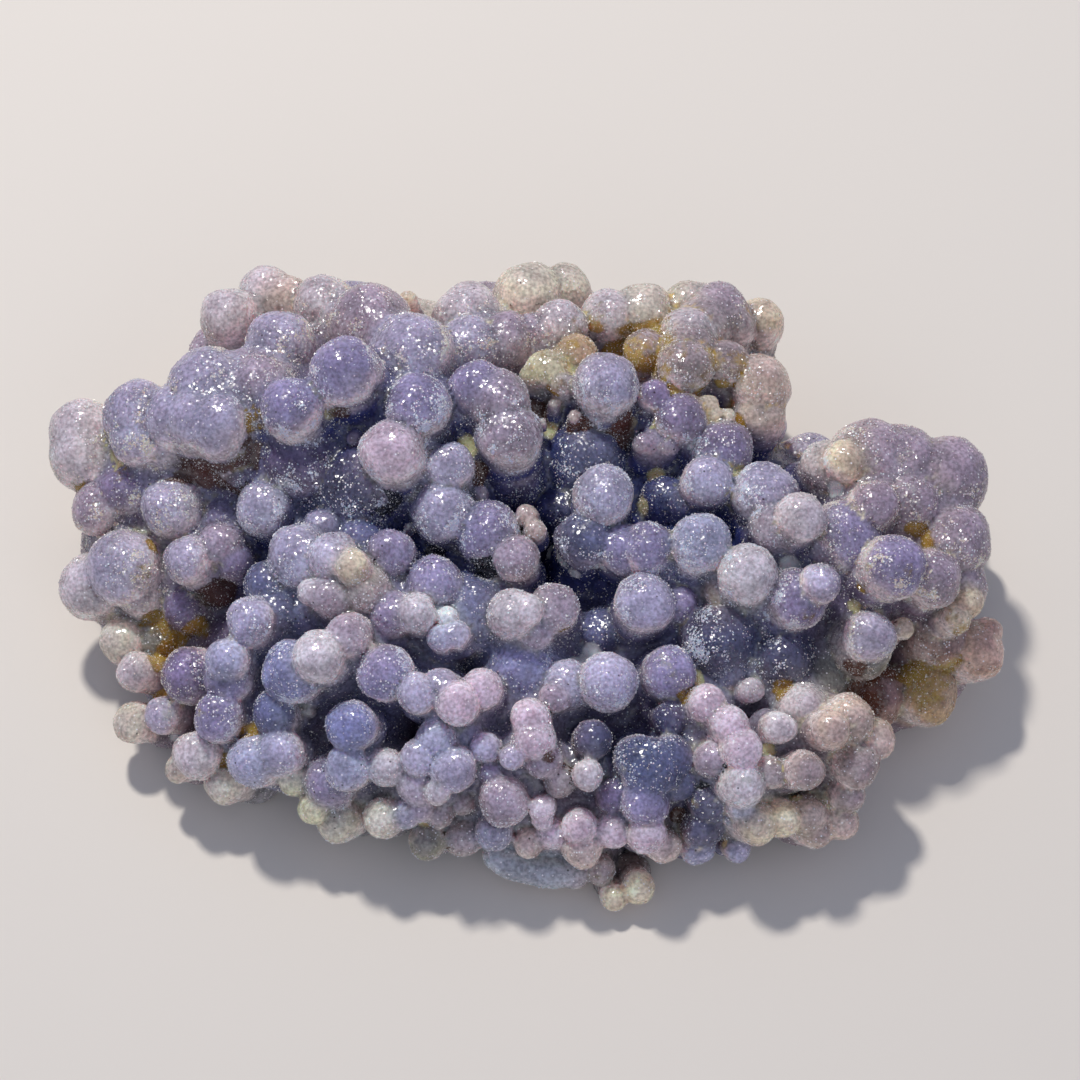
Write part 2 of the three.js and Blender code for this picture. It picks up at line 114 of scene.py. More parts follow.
# The visible balls: (across, down, radius, height of the centre above the table) in millimetres.
# Across and down are read in the photo's view, from its top left corner.
BALLS: dict[Tint, list[tuple[float, ...]]] = {
    Tint.LILAC: [
        (25.1, 62.2, 2.6, 16), (28.1, 75.2, 2.5, 10.5), (13.9, 41.5, 3.6, 19), (17.4, 41.8, 3.2, 20.5),
        (19.7, 42, 3.4, 21.5), (21.9, 42.4, 3.5, 22), (21, 38.7, 4.1, 21.5), (28, 34.5, 3.5, 22),
        (41.4, 35.2, 4, 23.5), (60.5, 38.6, 3.4, 22.5), (44.3, 51.2, 3.35, 19), (64.5, 60.4, 3.1, 16.5),
        (76.5, 49.7, 3.5, 18.5), (30.2, 55.7, 3.5, 17.5), (44.3, 68.8, 2.1, 16.5), (60.8, 68.2, 3, 15),
        (32.3, 53, 2.2, 17.5), (45.3, 76.9, 2.4, 13), (48.6, 74.7, 1.6, 13.5),
    ],
    Tint.VIOLET: [
        (22.5, 51.8, 2.4, 14), (22, 71.7, 2.6, 11), (34.6, 37.2, 3.65, 26), (29.3, 41, 3.3, 24),
        (41.9, 40.8, 3.4, 24.5), (47.7, 38.9, 2.9, 24), (48.7, 53.4, 3.3, 18), (62.3, 55, 2.7, 17),
        (64.9, 54.8, 2.8, 18), (89.2, 56.7, 3.3, 19), (84.4, 53.8, 3.9, 17.5), (39.2, 55.3, 2.5, 18.5),
        (43.4, 58.3, 2.8, 17.5), (38.6, 67.3, 2.9, 16.5), (66.8, 67.3, 2.8, 13.5),
        (64.5, 80.3, 2.6, 10),
    ],
    Tint.SILVER: [
        (12.5, 56.8, 3.9, 11.5), (16.5, 71.5, 2, 7.5), (17.3, 50.8, 3.15, 15), (26.6, 50.9, 3.05, 17),
        (18.9, 56.1, 2.55, 14.5), (13.8, 44, 2.8, 18.5), (47, 34.5, 3.1, 21), (45, 46.7, 2.5, 21.5),
        (60.4, 49.6, 3.15, 19.5), (70.7, 48.3, 2.8, 19), (82.1, 58.4, 2.1, 19), (86.8, 63.7, 2.7, 14.5),
        (33.3, 55.6, 2.5, 20), (45.7, 63.5, 1.5, 17.5), (41.7, 69.4, 2.1, 17), (56.7, 68.6, 2.5, 13.5),
        (42, 75.7, 2, 13), (51.2, 75.7, 1.35, 14),
    ],
    Tint.PEARL: [
        (80.3, 70.8, 2.6, 12), (56, 32.8, 2.8, 20), (8.2, 43.2, 3.3, 15), (8.6, 45.6, 3.7, 14),
        (13.8, 67.2, 2.1, 7.5), (19.7, 75.5, 2.5, 7.5), (23, 31.9, 3.1, 18), (26.8, 29.3, 2.9, 17.5),
        (32.5, 30.6, 3.2, 19.5), (46.8, 31.8, 3.6, 19), (60.8, 31.7, 2.8, 19), (69, 33.6, 3, 20),
        (74.7, 57.5, 3.1, 18.5), (82.9, 46.6, 2.7, 17.5), (77.9, 72.8, 1.7, 14), (74.2, 78.5, 2.4, 12),
        (75.2, 69, 1.35, 13), (31.1, 59.2, 1.35, 18.5), (41.6, 61.3, 2.1, 18.5), (31.9, 65.7, 2.7, 18),
        (51.3, 61.5, 2.6, 17.5), (52.8, 61, 1.7, 19), (38.7, 76.7, 2, 11.5), (43.7, 79.2, 1.35, 12),
        (58.7, 77.4, 1.65, 12.5), (9.4, 58.6, 3.5, 8.5), (80.1, 51.8, 2.6, 21),
    ],
    Tint.MAUVE: [
        (9.9, 50.8, 2.8, 12.5), (22.2, 54.6, 2.5, 14.5), (16.5, 44.7, 3, 17), (37.1, 32.4, 4.2, 21),
        (26.2, 38.5, 3.1, 22.5), (50.5, 34, 2.9, 20.5), (71.6, 31.8, 3.6, 18), (49.7, 40.2, 3.4, 23.5),
        (50.8, 43.6, 3.4, 22.5), (65.5, 44.6, 2, 18.5), (53, 33.6, 2.2, 20), (51.6, 55.9, 2.45, 18.5),
        (77.5, 52.6, 2.9, 18.5), (86.9, 46.2, 4.3, 17), (90, 46.4, 4.1, 16.5), (94.4, 48, 4.5, 15.5),
        (87.2, 50.7, 2.7, 19.5), (94.8, 54.2, 4.3, 14.5), (95.6, 58.4, 3.2, 12.5),
        (93.2, 57.8, 3, 16.5), (91, 50.5, 3, 17.5), (50.4, 80, 2.65, 10.5), (71.1, 75.9, 1.8, 12.5),
        (33.2, 59.6, 2.4, 18), (34.9, 63.6, 2.4, 18), (55.5, 60.8, 2.5, 17), (53.4, 63.1, 2, 16),
        (42, 78.5, 2.3, 10.5), (42, 80.8, 1.5, 9), (54.3, 76.1, 2, 12.5), (55.5, 69.8, 1.6, 14.5),
        (37.8, 40.5, 0.7, 22), (35.5, 43.7, 0.8, 22), (64.5, 44.5, 1.3, 19.5), (66.8, 44.5, 1.2, 19.5),
    ],
    Tint.ROSE: [
        (39.3, 45.3, 3.35, 23.5), (70.8, 70.5, 2.1, 14.5), (72.8, 72.4, 2.1, 14.5), (74, 74.9, 2.1, 14),
        (45.7, 70.3, 2.25, 17), (48.2, 69, 2.25, 16), (53.1, 72, 2.15, 15), (53.4, 73.8, 2.3, 14.5),
        (54.2, 80.8, 1.4, 10), (55.2, 83.4, 1.7, 7), (58, 82.7, 1.85, 8.5), (61.2, 83, 1.9, 7.5),
        (64.7, 83.3, 2.1, 8.5), (54.2, 82, 1.1, 9),
    ],
    Tint.DUSK: [
        (12.8, 48.7, 2.9, 14), (18.6, 61, 2.4, 9), (19, 67.5, 3, 10), (23.6, 56.2, 2, 14),
        (22.9, 67.8, 2.6, 12.5), (68.1, 42.1, 2.8, 20), (65.5, 39.8, 1.8, 21), (72.2, 45, 3.1, 18.5),
        (68, 60.5, 1.8, 15), (79.5, 60, 3.1, 16.5), (39.3, 61.4, 2.4, 17.5), (33, 78.3, 2.8, 8),
        (46.8, 73.4, 1.6, 13), (49, 77.1, 1.5, 11.5), (36.9, 42, 0.9, 22),
    ],
    Tint.PLUM: [
        (51.3, 47.6, 3, 17), (30.4, 46.3, 4.2, 18.5), (24.5, 47.5, 2.4, 17), (61.5, 79.5, 2, 9.5),
    ],
    Tint.INDIGO: [
        (27.8, 71.2, 2.5, 12), (27, 58.6, 2.7, 15), (27.7, 61.1, 2.4, 15), (58.5, 54, 3, 17),
        (58.5, 46.2, 4.6, 16), (47, 61.5, 4.3, 14), (60, 63.3, 2.6, 11.5), (66.5, 50, 2.6, 15.5),
        (30.3, 61.3, 2.3, 14.5), (68.5, 50.6, 2.2, 16.5), (63.6, 75.8, 2.4, 12), (67, 75.8, 2.4, 11.5),
        (65, 78.4, 2.3, 10.5), (67.5, 78, 2.1, 10), (65.2, 76.9, 3.2, 11.5),
    ],
    Tint.NAVY: [
        (36.4, 48.9, 4.9, 17.5), (72, 64, 4.1, 13), (78.3, 65.8, 3.1, 12.5), (56, 51, 2.5, 15),
        (59.2, 74, 2.05, 13), (67, 71.9, 1.9, 12), (70.8, 80.3, 2.1, 8.5), (70.2, 82.7, 2.2, 6.5),
    ],
    Tint.BLUE: [
        (52.2, 67, 3.6, 12.5), (29.5, 67.2, 3.3, 15), (36, 54, 2.5, 17), (35.3, 72.6, 2.7, 14),
    ],
    Tint.SLATE: [
        (22.7, 66, 2.4, 14.5), (25.5, 76.1, 2.7, 9.5), (70, 54.4, 3.2, 19), (73, 66.7, 2.3, 12),
        (44.1, 63.9, 1.4, 17.5), (34.8, 76.7, 2.4, 11.5), (43.7, 73.8, 2.1, 14), (40.5, 81.4, 1.6, 8.5),
        (49.4, 83.2, 2, 7), (69.7, 84.8, 1.8, 4.5), (73.8, 84.9, 1.35, 4), (74.2, 80.6, 1.6, 10),
        (73.3, 81.8, 1, 8),
    ],
    Tint.MIST: [
        (12.4, 64, 2.5, 7), (13.5, 72.3, 2.2, 5), (17.8, 77, 1.5, 5.5), (22.7, 78.3, 2.3, 5),
        (52.9, 29.7, 3.5, 17), (56.6, 28.9, 2.6, 16.5), (64.3, 31.3, 3.1, 18.5), (69.2, 31, 3, 17.5),
        (30.8, 48.6, 1.3, 16.5), (38.3, 81.8, 2.1, 8), (34, 81.8, 2.5, 5), (54.3, 42.2, 0.5, 21),
        (40.7, 52.7, 0.5, 19), (31.1, 47.5, 0.8, 17.5), (31.9, 49.1, 1, 17.5), (30.2, 49, 0.9, 17.5),
        (30.7, 71.1, 0.5, 12),
    ],
    Tint.LEMON: [
        (54.7, 37.2, 2.2, 22), (31.3, 80.8, 1.65, 7), (29.7, 78, 1.75, 8), (53.2, 37.7, 1.3, 22),
    ],
    Tint.CREAM: [
        (75.9, 32.4, 2.6, 16), (70.9, 40.6, 1.2, 20.5), (84.5, 46.2, 2.2, 19.5), (90.2, 62.9, 1.1, 14),
        (96.6, 60.3, 1.8, 13.5), (95.5, 61.8, 1.7, 13.5), (75.6, 82.3, 2.3, 8.5), (78.2, 81.8, 2, 8),
        (35.3, 56.7, 2, 20.5), (63.8, 88.7, 1.7, 2.5), (61.4, 89.6, 1.4, 2), (69.6, 40.4, 0.6, 20.5),
        (71.5, 41.4, 0.9, 20.5), (72.8, 41.5, 0.9, 20.5), (40.7, 30.1, 1.1, 19), (37.1, 64.6, 0.4, 18),
    ],
    Tint.BEIGE: [
        (80.6, 81.5, 2.2, 7), (83.1, 73, 2.1, 14.5), (76, 38.7, 3.2, 18.5), (28.6, 30, 2.7, 18),
        (75.8, 41.7, 2.9, 17), (52.7, 51.6, 1.2, 18.5), (53.4, 53, 1.2, 18.5), (84.6, 72, 2.8, 12.5),
        (87.4, 73.8, 2.2, 10.5), (83.9, 82, 2, 6), (81.3, 83, 2, 5.5), (52.9, 84.3, 1.6, 6.5),
        (58.2, 84.8, 2.1, 6.5), (66.2, 84.5, 1.9, 6.5), (55.4, 40.5, 0.8, 21), (57.4, 41.7, 0.8, 21),
    ],
    # partly painted glow: these balls are made lighter for the light passing through them
    Tint.PEACH: [
        (97.2, 65.2, 3.2, 7.5), (98.7, 63.2, 1.6, 8.5),
    ],
    Tint.RUSSET: [
        (93.5, 64, 3.1, 9), (87.5, 69.5, 3.2, 6.5),
    ],
    Tint.GREY: [
        (56.8, 87.1, 1.5, 2.8), (56, 87.1, 1.6, 2.8), (55.2, 87.1, 1.7, 2.8), (54.4, 87.1, 1.7, 2.8),
        (53.6, 87, 1.7, 2.8), (52.8, 86.8, 1.7, 3), (52, 86.6, 1.7, 3), (51.2, 86.3, 1.7, 3.2),
        (50.4, 86, 1.6, 3.3), (49.6, 85.6, 1.4, 3.5),
    ],
    Tint.SMOKE: [
        (64.6, 35.2, 2.3, 19.6), (68.8, 35.2, 3, 20.7), (70.3, 32.7, 3.3, 18.9), (80.4, 77, 2.1, 13),
        (77.2, 77.2, 1.7, 12), (68.5, 36.7, 2.9, 21.5), (73.3, 32.8, 2.4, 18), (14, 59.7, 2.2, 10),
        (72.4, 36.5, 2.5, 20), (56.2, 38.5, 1.5, 22), (85.4, 76.4, 2.5, 10.5), (84.6, 79.4, 2, 8),
        (36.6, 59, 2.4, 18.5), (44, 81.4, 1.5, 8), (46.3, 80.3, 1.3, 8.5), (56, 78, 1.75, 11),
        (46.3, 83.6, 2.2, 5), (57.5, 87.3, 1.6, 2.5), (60, 87, 1.6, 3), (47.7, 49.5, 1.2, 18.5),
    ],
    Tint.AMBER: [
        (92.4, 69.5, 3.3, 6), (57.5, 35.8, 2.4, 21), (71.8, 59.4, 1.3, 16), (23, 47, 1.6, 17.5),
    ],
    Tint.OLIVE: [
        (15.6, 63.6, 2.2, 7), (82, 68, 3, 9.5), (86, 64.8, 3.2, 12), (42.8, 84.1, 2, 5.5),
    ],
    Tint.TEAL: [
        (78.5, 65.5, 3.3, 10), (43, 66, 3, 12),
    ],
    Tint.ICE: [
        (44.7, 61.6, 1.1, 18),
    ],
}

# Balls on the sides that the photo doesn't show: (x, y, z, radius) in millimetres.
BACK_BALLS = [
    (-31, 18, 12, 3.8), (-26, 22.5, 12, 4), (-19, 22.5, 12, 4.2), (-12, 21, 11, 4.2),
    (-5, 22.5, 12, 4.2), (2, 23, 12, 4.2), (9, 21.5, 12, 4), (16, 22, 11.5, 4.1), (19.5, 17.5, 12, 3.8),
    (25.5, 3, 10.5, 3.2), (-33, 16, 5.5, 3.8), (-28, 23.5, 5, 4), (-21, 26, 5, 4.2),
    (-13.5, 25.5, 5, 4.2), (-6, 26.5, 5, 4.2), (2, 27, 5, 4), (10, 25.5, 5, 4), (17.5, 25, 5, 4),
    (20.5, 17, 5.5, 4), (26.5, 9, 5.5, 4), (33, 7.5, 6, 3.8), (38.5, 5.5, 6, 3.8), (40.5, 1.5, 6, 3.4),
    (39.5, -4.5, 4, 3.3), (-37.5, 12.5, 8, 3.6), (-42.5, 10.5, 7, 3.5), (-41.5, 2.5, 5, 3),
    (-41, -1, 4, 3.3), (-37.5, 13.5, 3.5, 3.2), (-32.5, 10.5, 13.5, 3), (-28, 12.5, 15.5, 2.8),
    (-24, 11.5, 17.5, 2.5), (-20, 9, 19.5, 2.5), (21.8, 10.8, 11.4, 2.4), (29, 6.4, 11, 2.3),
    (-43.5, 6.5, 2.5, 2.3), (-40, -7.5, 2.6, 2.5), (-36, -13, 2.5, 2.4), (40.3, -8.5, 3, 2.7),
    (38.5, -12.5, 3, 2.5), (35.5, 8.5, 9.5, 2.2),
]
BACK_TINTS = [Tint.MAUVE, Tint.PEARL, Tint.LILAC, Tint.MIST, Tint.MAUVE, Tint.SILVER, Tint.BEIGE]

# The rocky mass under the balls: (x, y, z, radius) in millimetres.
MASSES = [
    (-26, 6, 1, 15), (-10, 9, 1, 17), (8, 9, 1, 16.5), (17, 2, 0.5, 13.5), (33, -2, 1, 10),
    (-36, 3, 1, 9.5), (-16, -11, 0.5, 13.5), (0, -13, 0, 12.5), (14, -16, 0, 11.5), (20, -15, 0, 9.5),
    (3, -22, 0, 9), (-26, -10, 0, 10), (24, -19, 0, 7),
]

# Each ball sits on roots, given as (width, sink) in radii of the ball, towards the stone's heart.
ROOTS = [(1.0, 0.95), (1.22, 2.1)]
HEART = np.array([0.0, 1.5, -12.0])
HEART_SPREAD = np.array([0.6, 0.55, 0.0])

# Where the crust stands high and joins the balls into domes: (x, y, reach, height of the crust),
# in millimetres but for the last, which is 1 where only the tops of the balls stand out.
DOMES = [
    (-36, 6, 9, 0.6), (-27, 13, 12, 1), (-15, 15, 10, 1), (-4, 16, 6, 0.8), (35, 3, 9, 0.55),
    (41, -2, 7, 0.5), (24, -15, 6, 0.5), (2, -16, 5, 0.4),
]


class StainAndShade(Enum):
    """What lies between the balls, and the shade painted in the deepest gaps: the colour of each, and
    how much of it lies on open faces too.
    """

    OCHRE = ("#b8902f", 0.45)
    CRUST = ("#e0d4a4", 0.4)
    WHITE = ("#eef0f2", 0.5)
    # painted shade: brown in the deep gaps
    BROWN = ("#5d3c2c", 0.0)
    # painted shade: near black in the deepest gaps
    DARK = ("#0e1318", 0.0)
    RUST = ("#70402c", 0.7)
    GOLD = ("#cdae5e", 0.6)


# The stains and the painted shade of the deep gaps, as (across, down, reach) in the photo's view.
STAINS_AND_SHADE: dict[StainAndShade, list[tuple[float, ...]]] = {
    StainAndShade.OCHRE: [
        (63.4, 33.3, 2.2), (66.2, 32.8, 2), (65, 35.2, 2.8), (67.5, 35, 1.8), (69.6, 38.6, 1.8),
        (61.6, 35, 1.6), (57.6, 32.6, 1.4), (73.6, 36.2, 1.8), (58.7, 34.1, 1.2), (54.8, 35.2, 1.4),
        (70.9, 35, 1.2), (70.6, 38, 1.3), (73.9, 37.7, 1.3), (66.4, 37.4, 1), (74, 42.2, 1.1),
        (25.2, 42, 1.5), (15.2, 54.6, 1), (14.3, 57.4, 1.4), (15.4, 62.6, 1.7), (16.4, 65, 1.5),
        (16, 67.6, 1.6), (15.4, 69.8, 1.5), (19.6, 62.8, 1.5), (17.6, 63.8, 1.3), (25.2, 73.4, 1.3),
        (22.5, 76, 1), (91.6, 52.8, 1.3), (92.9, 54, 1), (86.5, 58.6, 1), (95.1, 61.6, 1),
        (93.4, 67.8, 2.6), (95.4, 66.2, 1.6), (91, 67.4, 1.6), (56.5, 62.8, 1.1), (68.7, 69.6, 1.1),
        (78.4, 69, 1.3), (90.9, 57, 0.9), (12, 47.5, 1.1), (7.8, 48.6, 1.2), (55.6, 38.6, 1.3),
        (80.6, 61.5, 1.2),
    ],
    StainAndShade.CRUST: [
        (59.5, 31.5, 1.8), (63.1, 34.7, 1.4), (56.6, 36.6, 1.6), (69.4, 34.4, 1.6), (68.8, 38.6, 1.2),
        (65.6, 42.7, 0.9), (55.1, 43, 1), (46.8, 44.7, 1.3), (44.6, 40.5, 0.9), (38.4, 32.6, 1),
        (10.9, 43.8, 1.5), (11.6, 46, 1.2), (76.8, 75.1, 0.9), (77.8, 76.6, 0.9), (78.8, 78.2, 0.9),
        (79.5, 79.8, 0.8), (69.6, 67.9, 1), (75.6, 68.9, 1), (87.5, 54.7, 1), (86.9, 56.6, 0.9),
        (67.2, 67.4, 1), (53.6, 37, 1.5), (73.4, 46.8, 1.3), (72.6, 48.8, 1), (42.4, 82.3, 0.8),
        (60, 87.4, 0.9), (26.4, 40.4, 1), (24.2, 46.2, 1.4), (33, 41.2, 0.9), (65.6, 47.6, 1),
        (64.2, 50.6, 1.1), (20, 71.6, 1.1), (30.8, 80.6, 1.2), (72.6, 84.4, 0.7), (69.8, 80.3, 0.9),
        (63, 42.2, 0.8), (85.4, 60.6, 0.8),
    ],
    StainAndShade.WHITE: [
        (90.7, 45.5, 0.8), (91, 47.2, 0.7), (91.3, 48.8, 0.8), (91.6, 50.4, 0.8), (83.6, 48.9, 1.1),
        (78.9, 56.4, 1.2), (69.4, 44.4, 0.9), (28.6, 48.4, 1.1), (56.1, 56, 1), (54.9, 55.2, 0.8),
        (57.4, 57.4, 0.8), (16.8, 71.4, 1), (17.7, 73.6, 0.8), (57.9, 66.4, 1.3), (59.2, 65.2, 1.1),
        (66.4, 66, 1), (74.5, 78.3, 0.9), (74.4, 71.8, 0.8), (76.3, 72.5, 0.9), (62.3, 77, 0.8),
        (82.4, 56.6, 0.9), (11.2, 54.8, 1), (60, 56.6, 0.9), (44.8, 61.4, 1.2), (58.4, 68.8, 0.9),
    ],
    # brown painted shade in the deep gaps
    StainAndShade.BROWN: [
        (21.5, 46.8, 3), (24.6, 45.6, 2.2), (18, 47, 2), (31, 41.6, 1.2), (34, 41, 1.2),
        (21.6, 59.2, 2.4), (53.4, 41.4, 1.7), (57.8, 42.6, 1.4), (61.8, 43.4, 1.8), (66.4, 39.4, 1.2),
        (47.6, 47.4, 1.5), (75.6, 60.2, 1), (57.2, 74.2, 1), (56.4, 77.4, 1.6), (67.8, 81.4, 1),
        (96.8, 63.8, 0.8), (88, 66.6, 1.8), (23.6, 48.4, 1.6), (51, 86.2, 1.2), (45, 84.6, 1.6),
        (90, 62.9, 1),
    ],
    StainAndShade.RUST: [
        (86.4, 69.6, 2.6), (88.6, 66.8, 1.8), (85.6, 66.8, 1.4), (62.4, 42.4, 1.6), (20.6, 47.4, 1.6),
        (58.2, 42.4, 1.2), (54.8, 75.6, 0.9),
    ],
    StainAndShade.GOLD: [
        (92.8, 68.8, 2.6), (94.8, 66.6, 1.6), (96.2, 63.2, 1.2), (66.4, 34.4, 1.7), (63.2, 35, 1.8),
        (71.2, 35.8, 1.5), (59.6, 32.4, 1.1), (65, 32.9, 1.5), (66.6, 37, 1), (67.2, 39, 0.9),
        (72.2, 38.4, 0.9), (74.2, 36, 0.9), (57.4, 34.4, 1), (15.4, 66.2, 1.2), (16.4, 69.2, 1.1),
    ],
    # near-black painted shade in the deepest gaps
    StainAndShade.DARK: [
        (57.4, 60.2, 2.6), (64.6, 61.9, 2.2), (48.6, 56.3, 1.8), (38.4, 50, 2), (43.6, 55.4, 1.2),
        (59, 78.4, 2), (62.2, 74.4, 1.2), (72, 76.8, 1), (70.4, 78.6, 0.8), (79.4, 61.5, 1.4),
        (52, 46.4, 1.4), (24, 62.4, 1.2), (35.4, 62.4, 1), (40.4, 66, 1.6), (53.2, 70.4, 0.8),
    ],
}

# Faces worn smooth and glassy, free of sugar, as (across, down, reach) in the photo's view.
SMOOTH_FACES = [
    (17, 42, 2.7), (21.7, 42.6, 2.8), (34.6, 37.4, 2.9), (39.3, 45.8, 3), (47.7, 38.9, 2.2),
    (80.3, 51.9, 2.7), (75, 58.2, 2.4), (31.8, 66, 2.6), (45.7, 70.3, 2.3), (48.3, 69, 2.3),
    (7.2, 42.8, 2.6), (9, 58.8, 3.2), (12.2, 64, 2.6), (13.4, 72.4, 2.4), (13.8, 67.4, 2),
    (22.7, 66.2, 2.2), (19.7, 75.8, 2.2), (76.2, 32.4, 2.7), (75.9, 42, 2.8), (52.6, 28.6, 3.2),
    (64, 30, 2.8), (22, 31, 2.8), (45.3, 77, 2.2), (61.4, 89.4, 1.6), (63.8, 88.7, 1.8),
    (83.1, 73, 2.2), (48.6, 74.7, 1.6), (97.2, 65.2, 3.2), (94.6, 46.6, 3.2), (7.2, 46.4, 2.6),
    (84.5, 45.6, 2), (26.8, 28.6, 2.8), (70, 30, 2.8), (87.3, 64, 2.2), (65.2, 60.8, 2.2),
]


@dataclass(frozen=True)
class PhotoView:
    """The photo's view of the table, in millimetres: what it spans, its slope and its distance."""

    width: float = 108.0
    elevation: float = math.radians(60)
    distance: float = 300.0
    centre: tuple[float, float, float] = (0.0, 4.5, 0.0)
    sensor_mm: float = 36.0

    def back(self) -> np.ndarray:
        """Returns the direction from the middle of the view to the eye."""
        return np.array([0.0, -math.cos(self.elevation), math.sin(self.elevation)])

    def eye(self) -> np.ndarray:
        """Returns where the eye is."""
        return np.array(self.centre) + self.back() * self.distance

    def on_picture(self, across: float, down: float) -> np.ndarray:
        """Finds a spot of the picture on the plane through the middle of the view.

        Args:
            across: distance from the picture's left side.
            down: distance from the picture's top.

        Returns:
            The point in space.
        """
        up = self.width / 2 - down
        rise = np.array([0.0, math.sin(self.elevation), math.cos(self.elevation)])
        return np.array([across - self.width / 2, 0.0, 0.0]) + up * rise + np.array(self.centre)

    def place(self, across: float, down: float, height: float) -> tuple[np.ndarray, float]:
        """Finds a spot of the picture at a height above the table.

        Args:
            across: distance from the picture's left side.
            down: distance from the picture's top.
            height: height above the table.

        Returns:
            The point, and how much smaller a thing there is than it looks.
        """
        spot, eye = self.on_picture(across, down), self.eye()
        nearer = (height - spot[2]) / (eye[2] - spot[2])
        return spot + (eye - spot) * nearer, 1 - nearer


@dataclass(frozen=True)
class Lump:
    """One round growth of the stone: a ball, its root or a part of the mass."""

    centre: np.ndarray
    radius: float
    colour: np.ndarray
    outward: np.ndarray
    is_ball: bool = False


@dataclass
class Growth:
    """All the lumps that the specimen is grown from."""

    view: PhotoView = field(default_factory=PhotoView)
    # painted shade: how much darker the roots and the mass under the balls are made
    root_shade: float = 0.62
    root_tint: Tint = Tint.DUSK
    root_share: float = 0.35

    def outward(self, centre: np.ndarray) -> np.ndarray:
        """Gives the direction that a ball grew in.

        Args:
            centre: the ball's centre.

        Returns:
            A unit vector away from the stone's heart.
        """
        heart = (centre - HEART) * HEART_SPREAD + HEART
        return (centre - heart) / np.linalg.norm(centre - heart)

    def ball(self, tint: Tint, centre: np.ndarray, radius: float) -> Lump:
        """Returns one ball of a tint."""
        return Lump(centre, radius, linear(tint.value), self.outward(centre), is_ball=True)

    def balls(self) -> list[Lump]:
        """Returns the balls of all sides."""
        found = []
        for tint, rows in BALLS.items():
            for across, down, radius, height in rows:
                centre, share = self.view.place(across, down, height)
                found.append(self.ball(tint, centre, radius * share))
        for number, (*centre, radius) in enumerate(BACK_BALLS):
            tint = BACK_TINTS[number % len(BACK_TINTS)]
            found.append(self.ball(tint, np.array(centre, dtype=float), radius))
        return found

    def root(self, ball: Lump, width: float, sink: float) -> Lump:
        """Makes one root of a ball.

        Args:
            ball: the ball on it.
            width: the root's radius, in radii of the ball.
            sink: how far it lies towards the heart, in radii of the ball.

        Returns:
            The root, a darker lump: painted shade where the ball sinks into the crust.
        """
        crust = linear(self.root_tint.value)
        colour = (ball.colour * (1 - self.root_share) + crust * self.root_share) * self.root_shade
        centre = ball.centre - ball.outward * ball.radius * sink
        return Lump(centre, ball.radius * width, colour, ball.outward)

    def lumps(self) -> list[Lump]:
        """Returns the balls, their roots and the mass under them."""
        balls = self.balls()
        roots = [self.root(ball, *shape) for ball in balls for shape in ROOTS]
        # painted shade: the mass under the balls is darkened
        shaded_rock = linear(Tint.DUSK.value) * self.root_shade
        up = np.array([0.0, 0.0, 1.0])
        masses = [Lump(np.array(row[:3], dtype=float), row[3], shaded_rock, up) for row in MASSES]
        return balls + roots + masses


def melt(one: np.ndarray, other: np.ndarray, width: float) -> np.ndarray:
    """Joins two solids, with a soft groove where they meet.

    Args:
        one: depths of the first.
        other: depths of the second.
        width: how wide the groove is.

    Returns:
        Depths of both together.
    """
    share = np.clip(0.5 + 0.5 * (one - other) / width, 0, 1)
    return one * (1 - share) + other * share - width * share * (1 - share)


